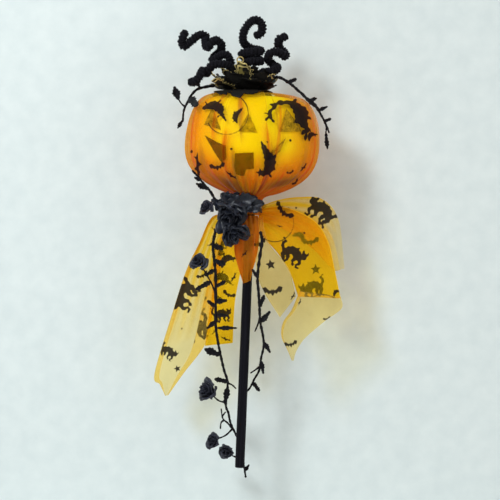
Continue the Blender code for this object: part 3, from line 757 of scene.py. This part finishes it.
def pressed_share(grid):
    """1 where the wrap lies on the felt, whose dark backing shows through it, and 0 elsewhere."""
    spots = grid.reshape(-1, 3)[:, (0, 2)]
    depth = np.max([outline_distance(spots, outline) for outline in FACE.values()], axis=0)
    return np.clip(0.5 + depth, 0, 1).reshape(grid.shape[:2]) * (grid[..., 1] < 0)


# Painted shade in the hollows between folds, from 0 to 1 at each point of the wrap
def hollow_shade(angle, share, grid):
    shade = np.zeros(grid.shape[:2])
    for direction, width, height, reach, strength in HOLLOWS:
        line = turn_from(angle + 3.0 * np.sin(7 * share), direction)
        rise = (grid[..., 2] - height - 0.25 * line * math.copysign(1, direction)) / reach
        shade += strength * np.exp(-(line / width) ** 2 - rise ** 4)
    return np.clip(shade, 0, 1)


def make_wrap():
    """Ribbon skin round the pumpkin, lapped over at the front and gathered at the collar and the neck."""
    rows = wrap_rows()
    share = np.linspace(0, 1, len(rows))[:, None]
    angle = np.linspace(WRAP_START, WRAP_END, WRAP_COLUMNS)
    lift, fine = wrap_lift(angle, share)
    radius = np.maximum(rows[:, 0, None], 8.0)
    out = 1 + lift * np.clip(radius / 30.0, 0.35, 1.0) / radius
    spin = np.radians(angle)
    blank = np.zeros_like(lift)
    grid = np.stack([rows[:, 0, None] * np.sin(spin) * out, -rows[:, 1, None] * np.cos(spin) * out,
                     rows[:, 2, None] + blank], -1)
    ink = np.where(grid[..., 1] < 0, ink_field(grid, FRONT_PRINTS), ink_field(grid, BACK_PRINTS))
    ink[:, angle < WRAP_END - 360] = OFF_PRINT
    # Gathering, with painted shade along creases, towards the sides and in the hollows between folds
    values = {"ink": ink, "gather_and_shade": wrap_gather_and_shade(angle, share, fine),
              "edge": np.minimum(angle - WRAP_START, WRAP_END - angle) + blank,
              "pressed": pressed_share(grid), "painted_hollow_shade": hollow_shade(angle, share, grid)}
    surface = sheer("sheer_wrap", 0.18, (0.99, 0.94, 0.40), (0.84, 0.27, 0.03), (1.0, 0.68, 0.01),
                    (0.74, 0.20, 0.006))
    piece = make_object("sheer_wrap", [(grid, False)], surface, values=values,
                        weave=np.stack([spin * 60.0 + blank, share * 190.0 + blank], -1))
    put(piece, nodes=["ribbon_wrap"])


# ---- ribbon tails

# Folded cross sections: corners of (share across, depth behind the front)
SINGLE = ((0, 0), (1, 0))
HEMMED = ((0.11, 1.0), (0, 0.5), (1, 0), (0.70, 0.9))
LAPPED = ((0.55, 0.9), (0, 0.45), (1, 0))
ROLLED = ((0.08, 1.0), (0, 0.5), (1, 0))
DOUBLE = ((1, 1.6), (0, 0.8), (1, 0))
TRIPLE = ((0, 2.0), (1, 1.2), (0, 0.6), (1, 0))

# Cloths: cover, colours of the light let through flat and gathered, colours of the cloth likewise
CLOTHS = {
    "sheer_ribbon": (
        0.13, (0.97, 0.83, 0.44), (0.88, 0.58, 0.04), (1.0, 0.76, 0.20), (0.86, 0.52, 0.012)),
    "sheer_ribbon_pale": (
        0.10, (1.0, 0.90, 0.60), (0.90, 0.60, 0.04), (1.0, 0.82, 0.32), (0.90, 0.56, 0.012)),
    "sheer_ribbon_rich": (
        0.20, (0.97, 0.77, 0.13), (0.84, 0.50, 0.03), (1.0, 0.70, 0.015), (0.90, 0.50, 0.01)),
    "sheer_ribbon_amber": (
        0.22, (0.90, 0.55, 0.06), (0.72, 0.22, 0.02), (0.95, 0.50, 0.015), (0.66, 0.22, 0.008)),
}

# Left and right edges from top to bottom, prints, and under, which is printed on the hidden layers
TAILS = {
    "left_outer": {
        "left": ((-20, 0, 252), (-38, 0, 249), (-50, 1, 222), (-62, 3, 194), (-74, 9, 152), (-90, 13, 89),
            (-84, 14, 78), (-78, 14, 67)),
        "right": ((-12, 0, 247), (-19, 0, 236), (-26, 2, 214), (-28, 5, 186), (-33, 10, 152),
            (-39, 13, 122), (-60, 14, 91), (-75, 14, 68)),
        "prints": (("cat", -63, 169, 35, 66, -1), ("cat", -77, 111, 19, -30, 1), ("star", -67, 95, 8, 20),
            ("bat", -45, 190, 13, 30), ("branch", -36, 222, 14, 20), ("dot", -64, 136, 1.0),
            ("dot", -45, 144, 1.0), ("branch", -48, 208, 13, 60), ("branch", -34, 236, 12, -30)),
        "under": (("cat", -52, 134, 36, 28, -1), ("cat", -44, 203, 22, 60, 1), ("bat", -45, 165, 12, 20)),
        "profile": HEMMED, "length": 0.19, "area": 0.0115, "cloth": "sheer_ribbon", "swell": 1.9,
        "gather_to": 0.66, "depth": 2.0,
    },
    "left_inner": {
        "left": ((-14, -4.5, 251), (-26, -4, 230), (-33, -3, 200), (-35, -2, 170), (-38, -1, 145),
            (-40, 0, 120)),
        "right": ((-4, -5.5, 251), (-4, -6.5, 230), (-6.5, -5.5, 200), (-11, -3, 170), (-12, -1, 147),
            (-12, 1, 124)),
        "prints": (("cat", -24, 151, 20, 10, 1), ("leap", -20, 205, 18, 60), ("branch", -19, 128, 13, -12),
            ("bat", -18, 172, 14, -20), ("dot", -33, 158, 1.0), ("branch", -14, 190, 14, 70),
            ("arch", -20, 224, 20, 40)),
        "under": (("leap", -26, 186, 20, 20), ("star", -28, 168, 8, 10), ("cat", -28, 218, 18, 70),
            ("branch", -30, 136, 12, 60)),
        "profile": DOUBLE, "length": 0.13, "cloth": "sheer_ribbon_rich",
    },
    "centre": {
        "left": ((-16, -8.5, 252), (-15, -8.5, 235), (-14, -8, 215), (-9, -7.5, 198), (-4, -6.5, 184)),
        "right": ((8, -8.5, 252), (10, -8.5, 235), (9, -8, 215), (5, -7, 198), (3, -6.5, 187)),
        "prints": (("branch", -4, 214, 12, 60), ("branch", 0, 232, 10, 20)),
        "profile": TRIPLE, "length": 0.08, "held": "gathered", "cloth": "sheer_ribbon_amber", "swell": 1.2,
        "gather_to": 1.1, "depth": 0.9,
    },
    "right_back": {
        "left": ((8, 8, 247), (27, 9, 243), (48, 10, 232), (66, 10, 220), (78, 9, 208), (88, 8, 200)),
        "right": ((10, 8, 262), (27, 9, 269), (48, 11, 273), (72, 12, 272), (89, 10, 252), (97, 8, 203)),
        "prints": (("cat", 71, 259, 33, -34, -1), ("dot", 46, 262, 1.0), ("bat", 32, 261, 17, -30)),
        "profile": LAPPED, "length": 0.1, "area": 0.006, "cloth": "sheer_ribbon_pale", "swell": 1.8,
        "gather_to": 0.85, "depth": 1.8,
    },
    "right_fold": {
        "left": ((8, 3, 242), (15, 2, 230), (30, 1, 214), (42, 0, 196), (47, 0, 184), (51, 0, 173)),
        "right": ((9, 3, 259), (34, 3, 262), (64, 4, 250), (79, 4, 230), (87, 4, 202), (94, 3, 173)),
        "prints": (("arc", 25, 246, 19, 225, 395), ("bat", 34, 256, 20, -34), ("dot", 55, 237, 1.1),
            ("cat", 44, 214, 29, -24, 1), ("branch", 30, 243, 8, 0), ("arc", 77, 154, 22, 20, 170),
            ("leap", 90, 178, 9, 70)),
        "under": (("bat", 62, 228, 18, 10), ("star", 68, 201, 12, 6), ("cat", 66, 181, 26, 20, -1),
            ("leap", 50, 232, 14, 0)),
        "profile": DOUBLE, "length": 0.2, "held": "folded", "cloth": "sheer_ribbon_rich", "gather_to": 0.5,
    },
    "right_front": {
        "left": ((6, -6, 248), (5.6, -8, 232), (6, -9, 217), (10, -9, 193), (18, -8, 175), (34, -6, 152)),
        "right": ((13, -6, 252), (15, -8, 238), (22, -9, 222), (40, -8, 202), (46, -7, 184), (49, -5, 173)),
        "prints": (("star", 22.5, 204, 12, 12), ("bat", 25.5, 177, 21, 6), ("bat", 10, 224, 16, 24),
            ("branch", 46, 174, 12, 70)),
        "profile": SINGLE, "width": 0.045, "length": 0.1, "area": 0.0032, "cloth": "sheer_ribbon",
        "swell": 1.2,
    },
    "right_tail": {
        "left": ((52, -3.5, 179), (45, -3.5, 160), (37, -3, 147), (36, -3, 133), (43, -3, 119),
            (47.5, -3, 109)),
        "right": ((94, -1.5, 174.5), (95, -1, 163), (78, -1, 149), (60, -2, 132), (52, -2, 119),
            (49.5, -3, 109)),
        "prints": (("bat", 46, 125, 14, 14), ("bat", 81, 152, 8, 20), ("branch", 53, 168, 10, 80)),
        "profile": ROLLED, "length": 0.075, "area": 0.0031, "cloth": "sheer_ribbon", "gather_to": 0.01,
        "depth": 0.0,
    },
}


def cross_profile(corners, columns):
    """Along a folded cross section: share across, depth, share of the cloth, True on its front layer."""
    corners = np.asarray(corners, dtype=float)
    spans = np.abs(np.diff(corners[:, 0]))
    travel = np.concatenate([[0], np.cumsum(spans)])
    place = np.linspace(0, travel[-1], columns)
    cloth = place / travel[-1]
    chosen = int(np.argmin((corners[:-1, 1] + corners[1:, 1]) / 2 + 10 * (spans < 0.5)))
    first, last = travel[chosen:chosen + 2] / travel[-1]
    return (np.interp(place, travel, corners[:, 0]), np.interp(place, travel, corners[:, 1]), cloth,
            (cloth >= first) & (cloth <= last))


def make_tail(name, cloths, seed, cloth, left, right, prints, profile, length, width=RIBBON_WIDTH,
              under=(), area=None, held="hung", swell=1.5, gather_to=0.35, depth=0.75):
    """One printed ribbon tail or loop, as an open sheet with waves, fine gathers and crumples."""
    edges = [np.array(edge, dtype=float) for edge in (left, right)]
    drop = max(path_travel(edge)[-1] for edge in edges)
    folds = np.abs(np.diff([corner[0] for corner in profile])).sum()
    spread = np.linalg.norm(edges[0] - edges[1], axis=1).max() * folds
    count = int(drop / 1.1) + 6
    left, right = (smooth_path(edge, count)[:, None] for edge in edges)
    across, behind, travel, front = cross_profile(profile, int(spread) + 8)
    down = np.linspace(0, 1, count)[:, None]
    grid = left + (right - left) * across[None, :, None]
    wave = np.sin(2 * np.pi * (1.35 * across + 0.9 * down + 0.21 * seed))
    wave += 0.5 * np.sin(2 * np.pi * (2.6 * across - 0.7 * down + 0.37 * seed))
    fine = np.sin(2 * np.pi * (TAIL_PLEATS * across + 0.35 * np.sin(3 * down + seed)))
    push = swell * wave * down ** 0.8 - behind * np.clip(down * 2.5, 0.25, 1)
    push += 0.9 * fine * np.clip(1 - 1.9 * down, 0, 1)
    push += 0.8 * (crumple(grid, 24.0, seed) - 0.6) * (0.3 + 0.7 * down)
    grid = grid + push[..., None] * FRONT
    blank = np.zeros_like(push)
    values = {
        "ink": np.where(front, ink_field(grid, prints), ink_field(grid, under)),
        "gather_and_shade": np.clip(depth * ease(down, gather_to, 0) ** 0.7 * (0.72 - 0.28 * fine), 0, 1),
        "edge": np.minimum(travel, 1 - travel) * spread + blank,
    }
    piece = make_object("sheer_" + name, [(grid, False)], cloths[cloth], values=values,
                        weave=np.stack([travel * spread + blank, down * drop + blank], -1))
    put(piece, nodes=["ribbon_" + name])


def make_ribbons():
    cloths = {name: sheer(name, *look) for name, look in CLOTHS.items()}
    for seed, (name, tail) in enumerate(TAILS.items(), 1):
        make_tail(name, cloths, seed, **tail)


# ---- roses and leaves

# Centre, facing, radius, petal count, looseness
ROSES = {
    "rose_large": ((-21, -20, 250), (-0.25, -0.72, -0.62), 15, 19, 0.55),
    "rose_small": ((-15, -19, 231.5), (0.35, -0.70, -0.62), 12, 17, 0.55),
}
# Base, tip, width
LEAVES = {
    "rose_leaf_right": (((-20, -17, 262), (14, -15.5, 264.5), 14), ((-9, -17, 260), (9, -18, 257), 10),
        ((-24, -19, 263), (7, -20, 269.5), 14), ((-16, -18, 258), (2, -20, 261), 10)),
    "rose_leaf_top": (((-33, -17, 258), (-12, -20, 272), 14), ((-12, -17, 262), (-30, -20, 272), 13),
        ((-24, -16, 258), (-39, -18, 266), 10), ((-18, -17, 264), (-12, -19, 275), 9)),
    "rose_leaf_back": (((8, 14.5, 259), (-12, 14.5, 268), 9), ((4, 15, 257), (16, 16, 264), 8),
        ((-2, 15, 256), (-12, 17, 250), 7)),
}


def rose_patches(centre, facing, radius, petals, loose=0.15):
    """Overlapping cupped petals, tight in the middle and rolled back outside; loose ones are uneven."""
    up = np.linspace(0, 1, 8)[:, None]
    side = np.linspace(-1, 1, 11)[None, :]
    patches = []
    for k in range(petals):
        layer = k / (petals - 1)
        reach = (0.14 + 0.16 * layer) + (0.10 + 0.62 * layer) * up ** 0.65
        reach = reach + 0.16 * layer * ease(up, 0.72, 1) ** 1.5 + 0.05 * layer * np.cos(3 * side + k) * up
        reach = reach * (1 + loose * 0.5 * math.sin(5.3 * k + radius))
        arc = (0.55 + 0.55 * np.sin(np.pi * np.clip(up * 0.75 + 0.1, 0, 1))) * (1.25 - 0.35 * layer)
        angle = 2.4 * k + side * arc
        height = -0.75 + (1.35 - 0.62 * layer) * up - 0.20 * up * side ** 2
        height = height - 0.22 * layer * ease(up, 0.8, 1) ** 2 + 0.03 * np.sin(5 * angle) * up
        height = height + loose * 0.22 * np.sin(7 * side + 2.9 * k) * up ** 2
        lean = np.cos(angle) * math.sin(3.7 * k) + np.sin(angle) * math.cos(2.3 * k)
        height = height + loose * lean * reach
        local = np.stack([reach * np.cos(angle), reach * np.sin(angle), height], -1) * radius
        patches.append((np.asarray(centre) + local @ facing_frame(facing), False))
    return patches


def leaf_patch(base, tip, width, curl=0.12, face=(0, -1, 0)):
    """Pointed leaf with a folded midrib, a toothed edge and a curled tip."""
    base, tip, face = np.asarray(base, float), np.asarray(tip, float), np.asarray(face, float)
    length = np.linalg.norm(tip - base)
    along = (tip - base) / length
    across = unit(np.cross(face, along))
    s = np.linspace(0, 1, 17)[:, None]
    t = np.linspace(-1, 1, 9)[None, :]
    half = width / 2 * (1.75 * s ** 0.6 * (1 - s) ** 0.55 + 0.10 * (1 - s))
    half = half * (1 + 0.24 * np.abs(t) * (2 * ((s * 5.0) % 1.0) - 1.0))
    half = half * (1 + 0.22 * np.sin(9 * s + base[2] + 3 * np.sign(t)) * np.abs(t))
    lift = 0.42 * half * np.abs(t) + curl * length * (s ** 2 - 0.3 * s) + 0.06 * width * np.sin(9 * s + 2 * t)
    spots = base + along * (length * s)[..., None] + across * (half * t)[..., None]
    return spots + face * lift[..., None], False


def make_neck():
    cloth = satin("rose_satin", (0.0025, 0.003, 0.005), (0.024, 0.029, 0.046), 0.38)
    for name, rose in ROSES.items():
        petals = make_object(name + "_petals", rose_patches(*rose), cloth, thickness=0.45)
        put(petals, nodes=[name])
    for name, blades in LEAVES.items():
        face = (0, 1, 0) if name == "rose_leaf_back" else (0, -1, 0)
        patches = [leaf_patch(*blade, curl=0.08, face=face) for blade in blades]
        put(make_object(name + "_blades", patches, cloth, thickness=0.4), nodes=[name])
    turn = 2 * np.pi * np.arange(120) / 30
    reach = 11.2 + 0.25 * np.sin(7 * turn)
    path = np.column_stack([reach * np.cos(turn), reach * np.sin(turn), np.linspace(255.8, 260.2, 120)])
    cord = tube_patch(path, [0.75] * 120, 10, 3, 0.12, 1.6)
    band = make_object("neck_tie_band", [cord], cloth, weld=True)
    put(band, nodes=["neck_tie"])


# ---- vines and sprigs

# Leaves are (base, tip, width), and roses are (centre, facing, radius, petal count, looseness)
SPRAYS = {
    "vine_left": {
        "stem": ((-28, -10, 243), (-33, -11, 236), (-35.5, -12, 222), (-34, -12, 209), (-31.5, -12, 190),
            (-30.5, -12, 166), (-29.5, -12, 142), (-27, -11, 127), (-23, -9, 110), (-19.5, -6, 97),
            (-15.5, -2, 84), (-16.5, 4, 62), (-13.5, 7, 53), (-11, 9, 43), (-6, 10, 33), (0, 10, 22),
            (3, 10, 8), (4.5, 10, -1), (6.5, 10, -11)),
        "twigs": (((-31, -12, 173), (-36, -13, 184), (-48, -13.5, 203)),
            ((-16.8, 3, 64), (-24, 1, 66), (-31, 0, 72)), ((-9, 9.5, 37), (-16, 10, 30), (-27, 10.5, 25)),
            ((2, 10, 12), (-4, 10, 9), (-13, 9.5, 12.5)), ((-15.7, -1.5, 84), (-11, 2, 82), (-7, 7, 78)),
            ((-9.5, 9.5, 38), (-14, 8.5, 43), (-19, 8, 47.5), (-21, 7.5, 57)),
            ((-17.5, 8.2, 46), (-20.5, 8, 43), (-21, 8, 37)), ((-19.5, 7.8, 50), (-16.5, 7.5, 54))),
        "leaves": (((-36, -13.5, 185), (-51, -14, 176), 6), ((-31, -12.4, 165), (-19, -13, 167), 6),
            ((-30.5, -12, 160), (-39, -12.5, 166), 5), ((-29, -12, 139), (-8, -12.5, 140), 4.5),
            ((-24, -9.5, 112), (-40, -11, 118), 8), ((-15.2, -2.2, 85.5), (-29, -5, 88), 6),
            ((-17.5, 3, 62), (-15, 0, 82), 6.5), ((-34, -12.4, 206), (-22, -14, 202), 7),
            ((-30, -12, 152), (-17, -13, 152), 4), ((-35.5, -12, 221), (-25, -14, 217), 6),
            ((-33, -12, 197), (-42, -13, 190), 5), ((-31, -12, 180), (-21, -13, 186), 5),
            ((-30, -12, 146), (-38, -13, 138), 5), ((5, 10, -5), (9.5, 10.5, 2), 4)),
        "roses": (((-50, -15, 205), (-0.35, -0.8, 0.45), 8.5, 14),
            ((-37, -1, 76.5), (-0.75, -0.6, 0.3), 11.5, 15, 0.3),
            ((-29, 9.5, 24.5), (-0.6, -0.75, 0.2), 8.2, 13),
            ((-14.5, 9, 14), (-0.4, -0.8, -0.3), 8, 13, 0.3)),
    },
    "vine_right": {
        "stem": ((11, -13.5, 236), (13, -14, 227), (11, -14, 208), (10, -14, 190), (11.5, -13.5, 177),
            (13, -12, 163), (14.5, -9, 147), (18, -5, 132), (19, -1, 122), (17, 4, 110), (15.5, 8, 97),
            (11, 9.5, 88), (7, 10, 79), (1, 10, 72)),
        "twigs": (((14, -10, 150), (11.5, -9, 142), (9.5, -8.5, 137)),
            ((16, 6.8, 101), (11, 8, 97), (7, 9, 94))),
        "leaves": (((13, -11.8, 161), (17.5, -13, 174), 5), ((15, -8.4, 146), (24, -9, 158), 6),
            ((18.6, -3, 127), (26, -4, 116), 5), ((16.8, 4.5, 108), (20, 4, 94), 5),
            ((10, -14, 191), (4, -14.5, 199), 4), ((9.5, 10, 85), (17, 10.5, 76), 5)),
        "roses": (),
    },
    "sprig_right": {
        "stem": ((17, 0, 389.5), (21, 0, 391.5), (27, -1, 390), (36, -1, 384.5), (41, -2, 380.5),
            (50, -3, 373), (62, -3, 362), (67.5, -3, 354), (71, -3, 348), (75.5, -3, 338)),
        "twigs": (((41, -2, 380.5), (42.5, -3, 378), (45.5, -4.5, 376)),
            ((70, -3, 350), (72.5, -3, 343), (72, -3, 336))),
        "leaves": (((45, -4, 376.3), (65, -18, 358.5), 4.5), ((72.2, -3, 338), (74.5, -3, 321), 4.5),
            ((33, -1, 386.5), (41, -1.5, 390.5), 5), ((64, -3, 359.5), (73, -3, 364), 4),
            ((54, -3, 369.5), (62, -4, 371.5), 4), ((70.5, -3, 349), (77, -4, 352), 4)),
        "roses": (),
    },
    "sprig_left": {
        "stem": ((-41, 0, 380.5), (-49, 0, 379), (-58, 0, 376), (-63.5, 0, 370), (-67, 0, 363),
            (-70.5, 0, 354), (-71, 0, 343)),
        "twigs": (((-69, 0, 358), (-73, 0, 361), (-76.5, 0, 366)),),
        "leaves": (((-76, 0, 364.5), (-81, -1, 378), 8), ((-65, 0, 367.5), (-56, -29, 356), 10),
            ((-55, 0, 377), (-60, 0, 386), 4), ((-71, 0, 345), (-76, 0, 336), 4)),
        "roses": (),
    },
    "sprig_low": {
        "stem": ((-33, -10, 256), (-35.5, -10.5, 266), (-41, -11, 275), (-46, -11, 280), (-53, -11, 288),
            (-59, -11, 294)),
        "twigs": (((-35, -10.2, 262.5), (-37.5, -11, 262), (-40, -11.5, 261)),),
        "leaves": (((-42, -11, 276), (-55, -12, 281.5), 6), ((-50, -11, 284.5), (-57, -11.5, 287.5), 4)),
        "roses": (((-45, -12.5, 258.5), (-0.6, -0.7, 0.4), 7.5, 9),),
    },
}


def make_sprays():
    paper = crepe_paper()
    petal = satin("rose_paper", (0.005, 0.005, 0.008), (0.042, 0.046, 0.070), 0.42)
    for name, parts in SPRAYS.items():
        stems = []
        for k, points in enumerate((parts["stem"], *parts["twigs"])):
            count = max(8, int(path_travel(np.array(points, float))[-1] / 1.2))
            size = np.linspace(1.15, 0.7, count) * (TWIG_RADIUS if k else STEM_RADIUS)
            size = size * (1 + 0.12 * np.sin(np.arange(count) * 1.1))
            stems.append(tube_patch(smooth_path(points, count), size, 8, 2, 0.16, 1.4))
        put(make_object(name + "_stems", stems, paper, weld=True), name, [name])
        blades = [leaf_patch(*blade) for blade in parts["leaves"]]
        put(make_object(name + "_leaves", blades, paper, thickness=0.35), name)
        if parts["roses"]:
            heads = [patch for rose in parts["roses"] for patch in rose_patches(*rose)]
            put(make_object(name + "_roses", heads, petal, thickness=0.35), name)


# ---- collar

# Layers: petal count, first direction, length, width, base height, tip height, root, cup, stretch
COLLAR_LAYERS = {
    "collar_lower": (12, 12, 33, 24, 376.5, 358.0, 5.0, 0.05, 1.7),
    "collar_middle": (13, 22, 37, 25, 374.5, 392.5, 17.0, 0.22, 0.88),
    "collar_upper": (9, 8, 27, 17, 377.0, 398.0, 7.0, 0.25, 0.86),
}


def crown_height(x, y):
    """Height of the wrap's top over a place on the plan."""
    wide = np.minimum(np.hypot(x / WRAP_HALF[0], y / WRAP_HALF[1]), 1.0)
    return HEAD_HEIGHT + CROWN_HEIGHT * np.sqrt(1 - wide ** (2 / CROWN_FULLNESS))


def collar_petal(turn, length, width, base, tip, seed, root=12.0, cup=0.25, stretch=0.88):
    """One jagged petal that leaves the collar's middle at an angle; returns its points and rim distance."""
    s = np.linspace(0, 1, 26)[:, None]
    t = np.linspace(-1, 1, 13)[None, :]
    half = width / 2 * (1.7 * (s + 0.04) ** 0.5 * (1.02 - s) ** 0.5 + 0.12 * (1 - s))
    jag = 2 * ((s * 7.0 + seed * 0.37) % 1.0) - 1.0
    half = half * (1 + 0.26 * np.abs(t) ** 2 * jag + 0.15 * np.sin(8 * s + seed) * t)
    reach = root + (length - root) * s
    angle = math.radians(turn)
    height = base + (tip - base) * s ** 1.15 + cup * half * np.abs(t) ** 1.4
    height = height + 1.1 * np.sin(9 * s + 2.4 * seed + 2 * t) * s
    x = COLLAR_X + math.cos(angle) * reach - math.sin(angle) * half * t
    y = stretch * (math.sin(angle) * reach + math.cos(angle) * half * t)
    height = np.maximum(height, crown_height(x, y) + 1.3 + 0.5 * s)
    return np.stack([x, y, height], -1), np.minimum((1 - np.abs(t)) * half, (1 - s) * (length - root))


def make_collar():
    surface = gilded_satin()
    for name, (count, first, length, width, base, tip, *shape) in COLLAR_LAYERS.items():
        patches, rims, gilds = [], [], []
        for k in range(count):
            turn = first + 360.0 * k / count + 6 * math.sin(5.1 * k)
            reach = length * (1 - 0.14 * (0.5 + 0.5 * math.sin(3.3 * k + length)))
            reach *= 1 - 0.10 * math.cos(math.radians(turn))
            high = tip + 1.8 * math.sin(2.2 * k)
            if name == "collar_middle" and k % 2:
                high -= 9.0
            points, rim = collar_petal(turn, reach, width, base + 0.5 * (k % 3), high, k, *shape)
            gilded = abs(math.cos(math.radians(turn))) > 0.86 and name != "collar_lower"
            patches.append((points, False))
            rims.append(rim)
            gilds.append(np.full(rim.shape, 0.95 if gilded else 0.1))
        piece = make_object(name + "_petals", patches, surface, thickness=0.4,
                            values={"rim": np.concatenate(rims), "gild": np.concatenate(gilds)})
        put(piece, nodes=[name])
    make_gold_loop(surface)


def make_gold_loop(surface):
    """Upright gilded petal at the front and the gold wire loop that stands out of it."""
    points, rim = collar_petal(-100, 27, 19, 376.0, 402.0, 3)
    petal = make_object("collar_front_petal", [(points, False)], surface, thickness=0.4,
                        values={"rim": rim, "gild": np.full(rim.shape, 1.5)})
    put(petal)
    post = smooth_path(((-9, -7, 390), (-11, -10, 395), (-13.5, -13.5, 399), (-15.5, -16.5, 401.8)), 20)
    turn = np.linspace(0, 2 * np.pi, 40)
    loop = np.column_stack([-16 + 3.1 * np.sin(turn), -17 + 0.4 * np.sin(2 * turn), 405 - 3.1 * np.cos(turn)])
    wires = [tube_patch(post, [0.5] * 20, 8, 2, 0.2, 2.0), tube_patch(loop, [0.65] * 40, 8, 2, 0.2, 2.0)]
    put(make_object("collar_gold_loop", wires, gold_wire(), weld=True), nodes=["collar_stamen"])


# ---- chenille

CHENILLE = {
    "chenille_left": ((-20, 3, 394), (-25, 1, 398), (-26, -4, 405), (-30, -6, 411), (-36.5, -3, 410),
        (-43.5, 3, 405.5), (-42, 7, 411), (-36, 6, 416), (-36, 0, 422.5), (-42.5, -5, 425), (-49, -4, 418),
        (-52, 2, 424), (-52, 5, 430), (-58, 3, 431), (-66, 0, 424), (-72, -2, 418.5), (-75, -3, 423),
        (-71.5, -3, 434)),
    "chenille_centre": ((-9, 4, 392), (-13, 1, 398), (-11, -5.5, 403), (-4, -8, 405), (3.5, -3.5, 406.5),
        (3, 4.5, 408.5), (-5, 8, 410), (-13, 4, 411.5), (-14, -4, 413), (-6, -8.5, 414.5), (2.5, -4, 416),
        (3, 4, 418), (-4, 8, 420), (-12, 5.5, 423.5), (-14.5, 1, 430), (-12.5, -1, 438), (-7.5, -2, 445),
        (-1, -1.5, 447.5), (4, 0, 443), (3.5, 3, 435.5), (-3, 4.5, 432)),
    "chenille_right": ((3, 2, 394.5), (10, -2, 396), (17, -4, 397), (21.5, 0, 401), (16, 5, 405),
        (11.5, 2, 410), (13, -5, 414), (20, -6, 416), (28, -1, 413), (28, 5, 417), (22, 5, 423),
        (22, 0, 429), (30, -2, 433)),
    "chenille_low": ((-21, -9, 395), (-26, -10, 399), (-34, -12, 401), (-44, -10, 399), (-49, -6, 391.5),
        (-53, -9, 394), (-55.5, -14, 388), (-60, -12, 382), (-66, -8, 383)),
}


def make_chenille():
    """Wired chenille stems: a ridge of dense fibre winds round each one, with loose fibre ends and painted
    shade between them.
    """
    surface = chenille_pile()
    sides = 30
    for seed, (name, points) in enumerate(CHENILLE.items()):
        count = int(path_travel(smooth_path(points, 400))[-1] / PILE_STEP)
        path = smooth_path(points, count)
        grid, closed = tube_patch(path, [1.0] * count, sides)
        random = np.random.default_rng(seed + 3)
        along = np.arange(count)[:, None] * PILE_STEP
        turns = 2 * np.pi * np.arange(sides)[None, :] / sides
        ridge = 0.5 + 0.5 * np.cos(2 * np.pi * along / PILE_PITCH + turns)
        fibre = random.random((count, sides)) ** 2
        taper = np.minimum(1, (np.minimum(along, along[::-1]) + 1.2) / 3.0) ** 0.5
        reach = (PILE_RADIUS + 0.8 * ridge + 1.5 * fibre ** 1.5) * taper
        middle = path[:, None, :]
        grid[1:-1] = middle + (grid[1:-1] - middle) * reach[..., None]
        # Painted shade from the fibre length and the ridge: darker low down, lighter on the long ends
        pile = np.pad(0.35 * ridge + 0.65 * fibre, ((1, 1), (0, 0)))
        piece = make_object(name + "_pile", [(grid, closed)], surface, values={"pile": pile}, weld=True)
        put(piece, name, [name])


# ---- stick

def make_stick():
    radius, length = 4.75, 305.0
    rounding = np.array([(0.0, 0.0), (radius - 0.55, 0.0), (radius - 0.15, 0.25), (radius, 0.6)])
    sizes = np.concatenate([rounding[:, 0], np.full(90, radius), rounding[::-1, 0]])
    heights = np.concatenate([rounding[:, 1], np.linspace(4, length - 4, 90), length - rounding[::-1, 1]])
    wobble = 1 + 0.008 * np.sin(heights / 9.0)[:, None] * np.cos(np.linspace(0, 4 * np.pi, 48, False))
    grid = ring_grid(np.column_stack([sizes, sizes, heights]), 48, wobble)
    stick = make_object("painted_stick", [(grid, True)], painted_wood(), weld=True)
    put(stick, nodes=["stick"])


make_camera()
make_lights()
make_stage()
make_stick()
make_pumpkin()
make_face()
make_wrap()
make_ribbons()
make_neck()
make_sprays()
make_collar()
make_chenille()
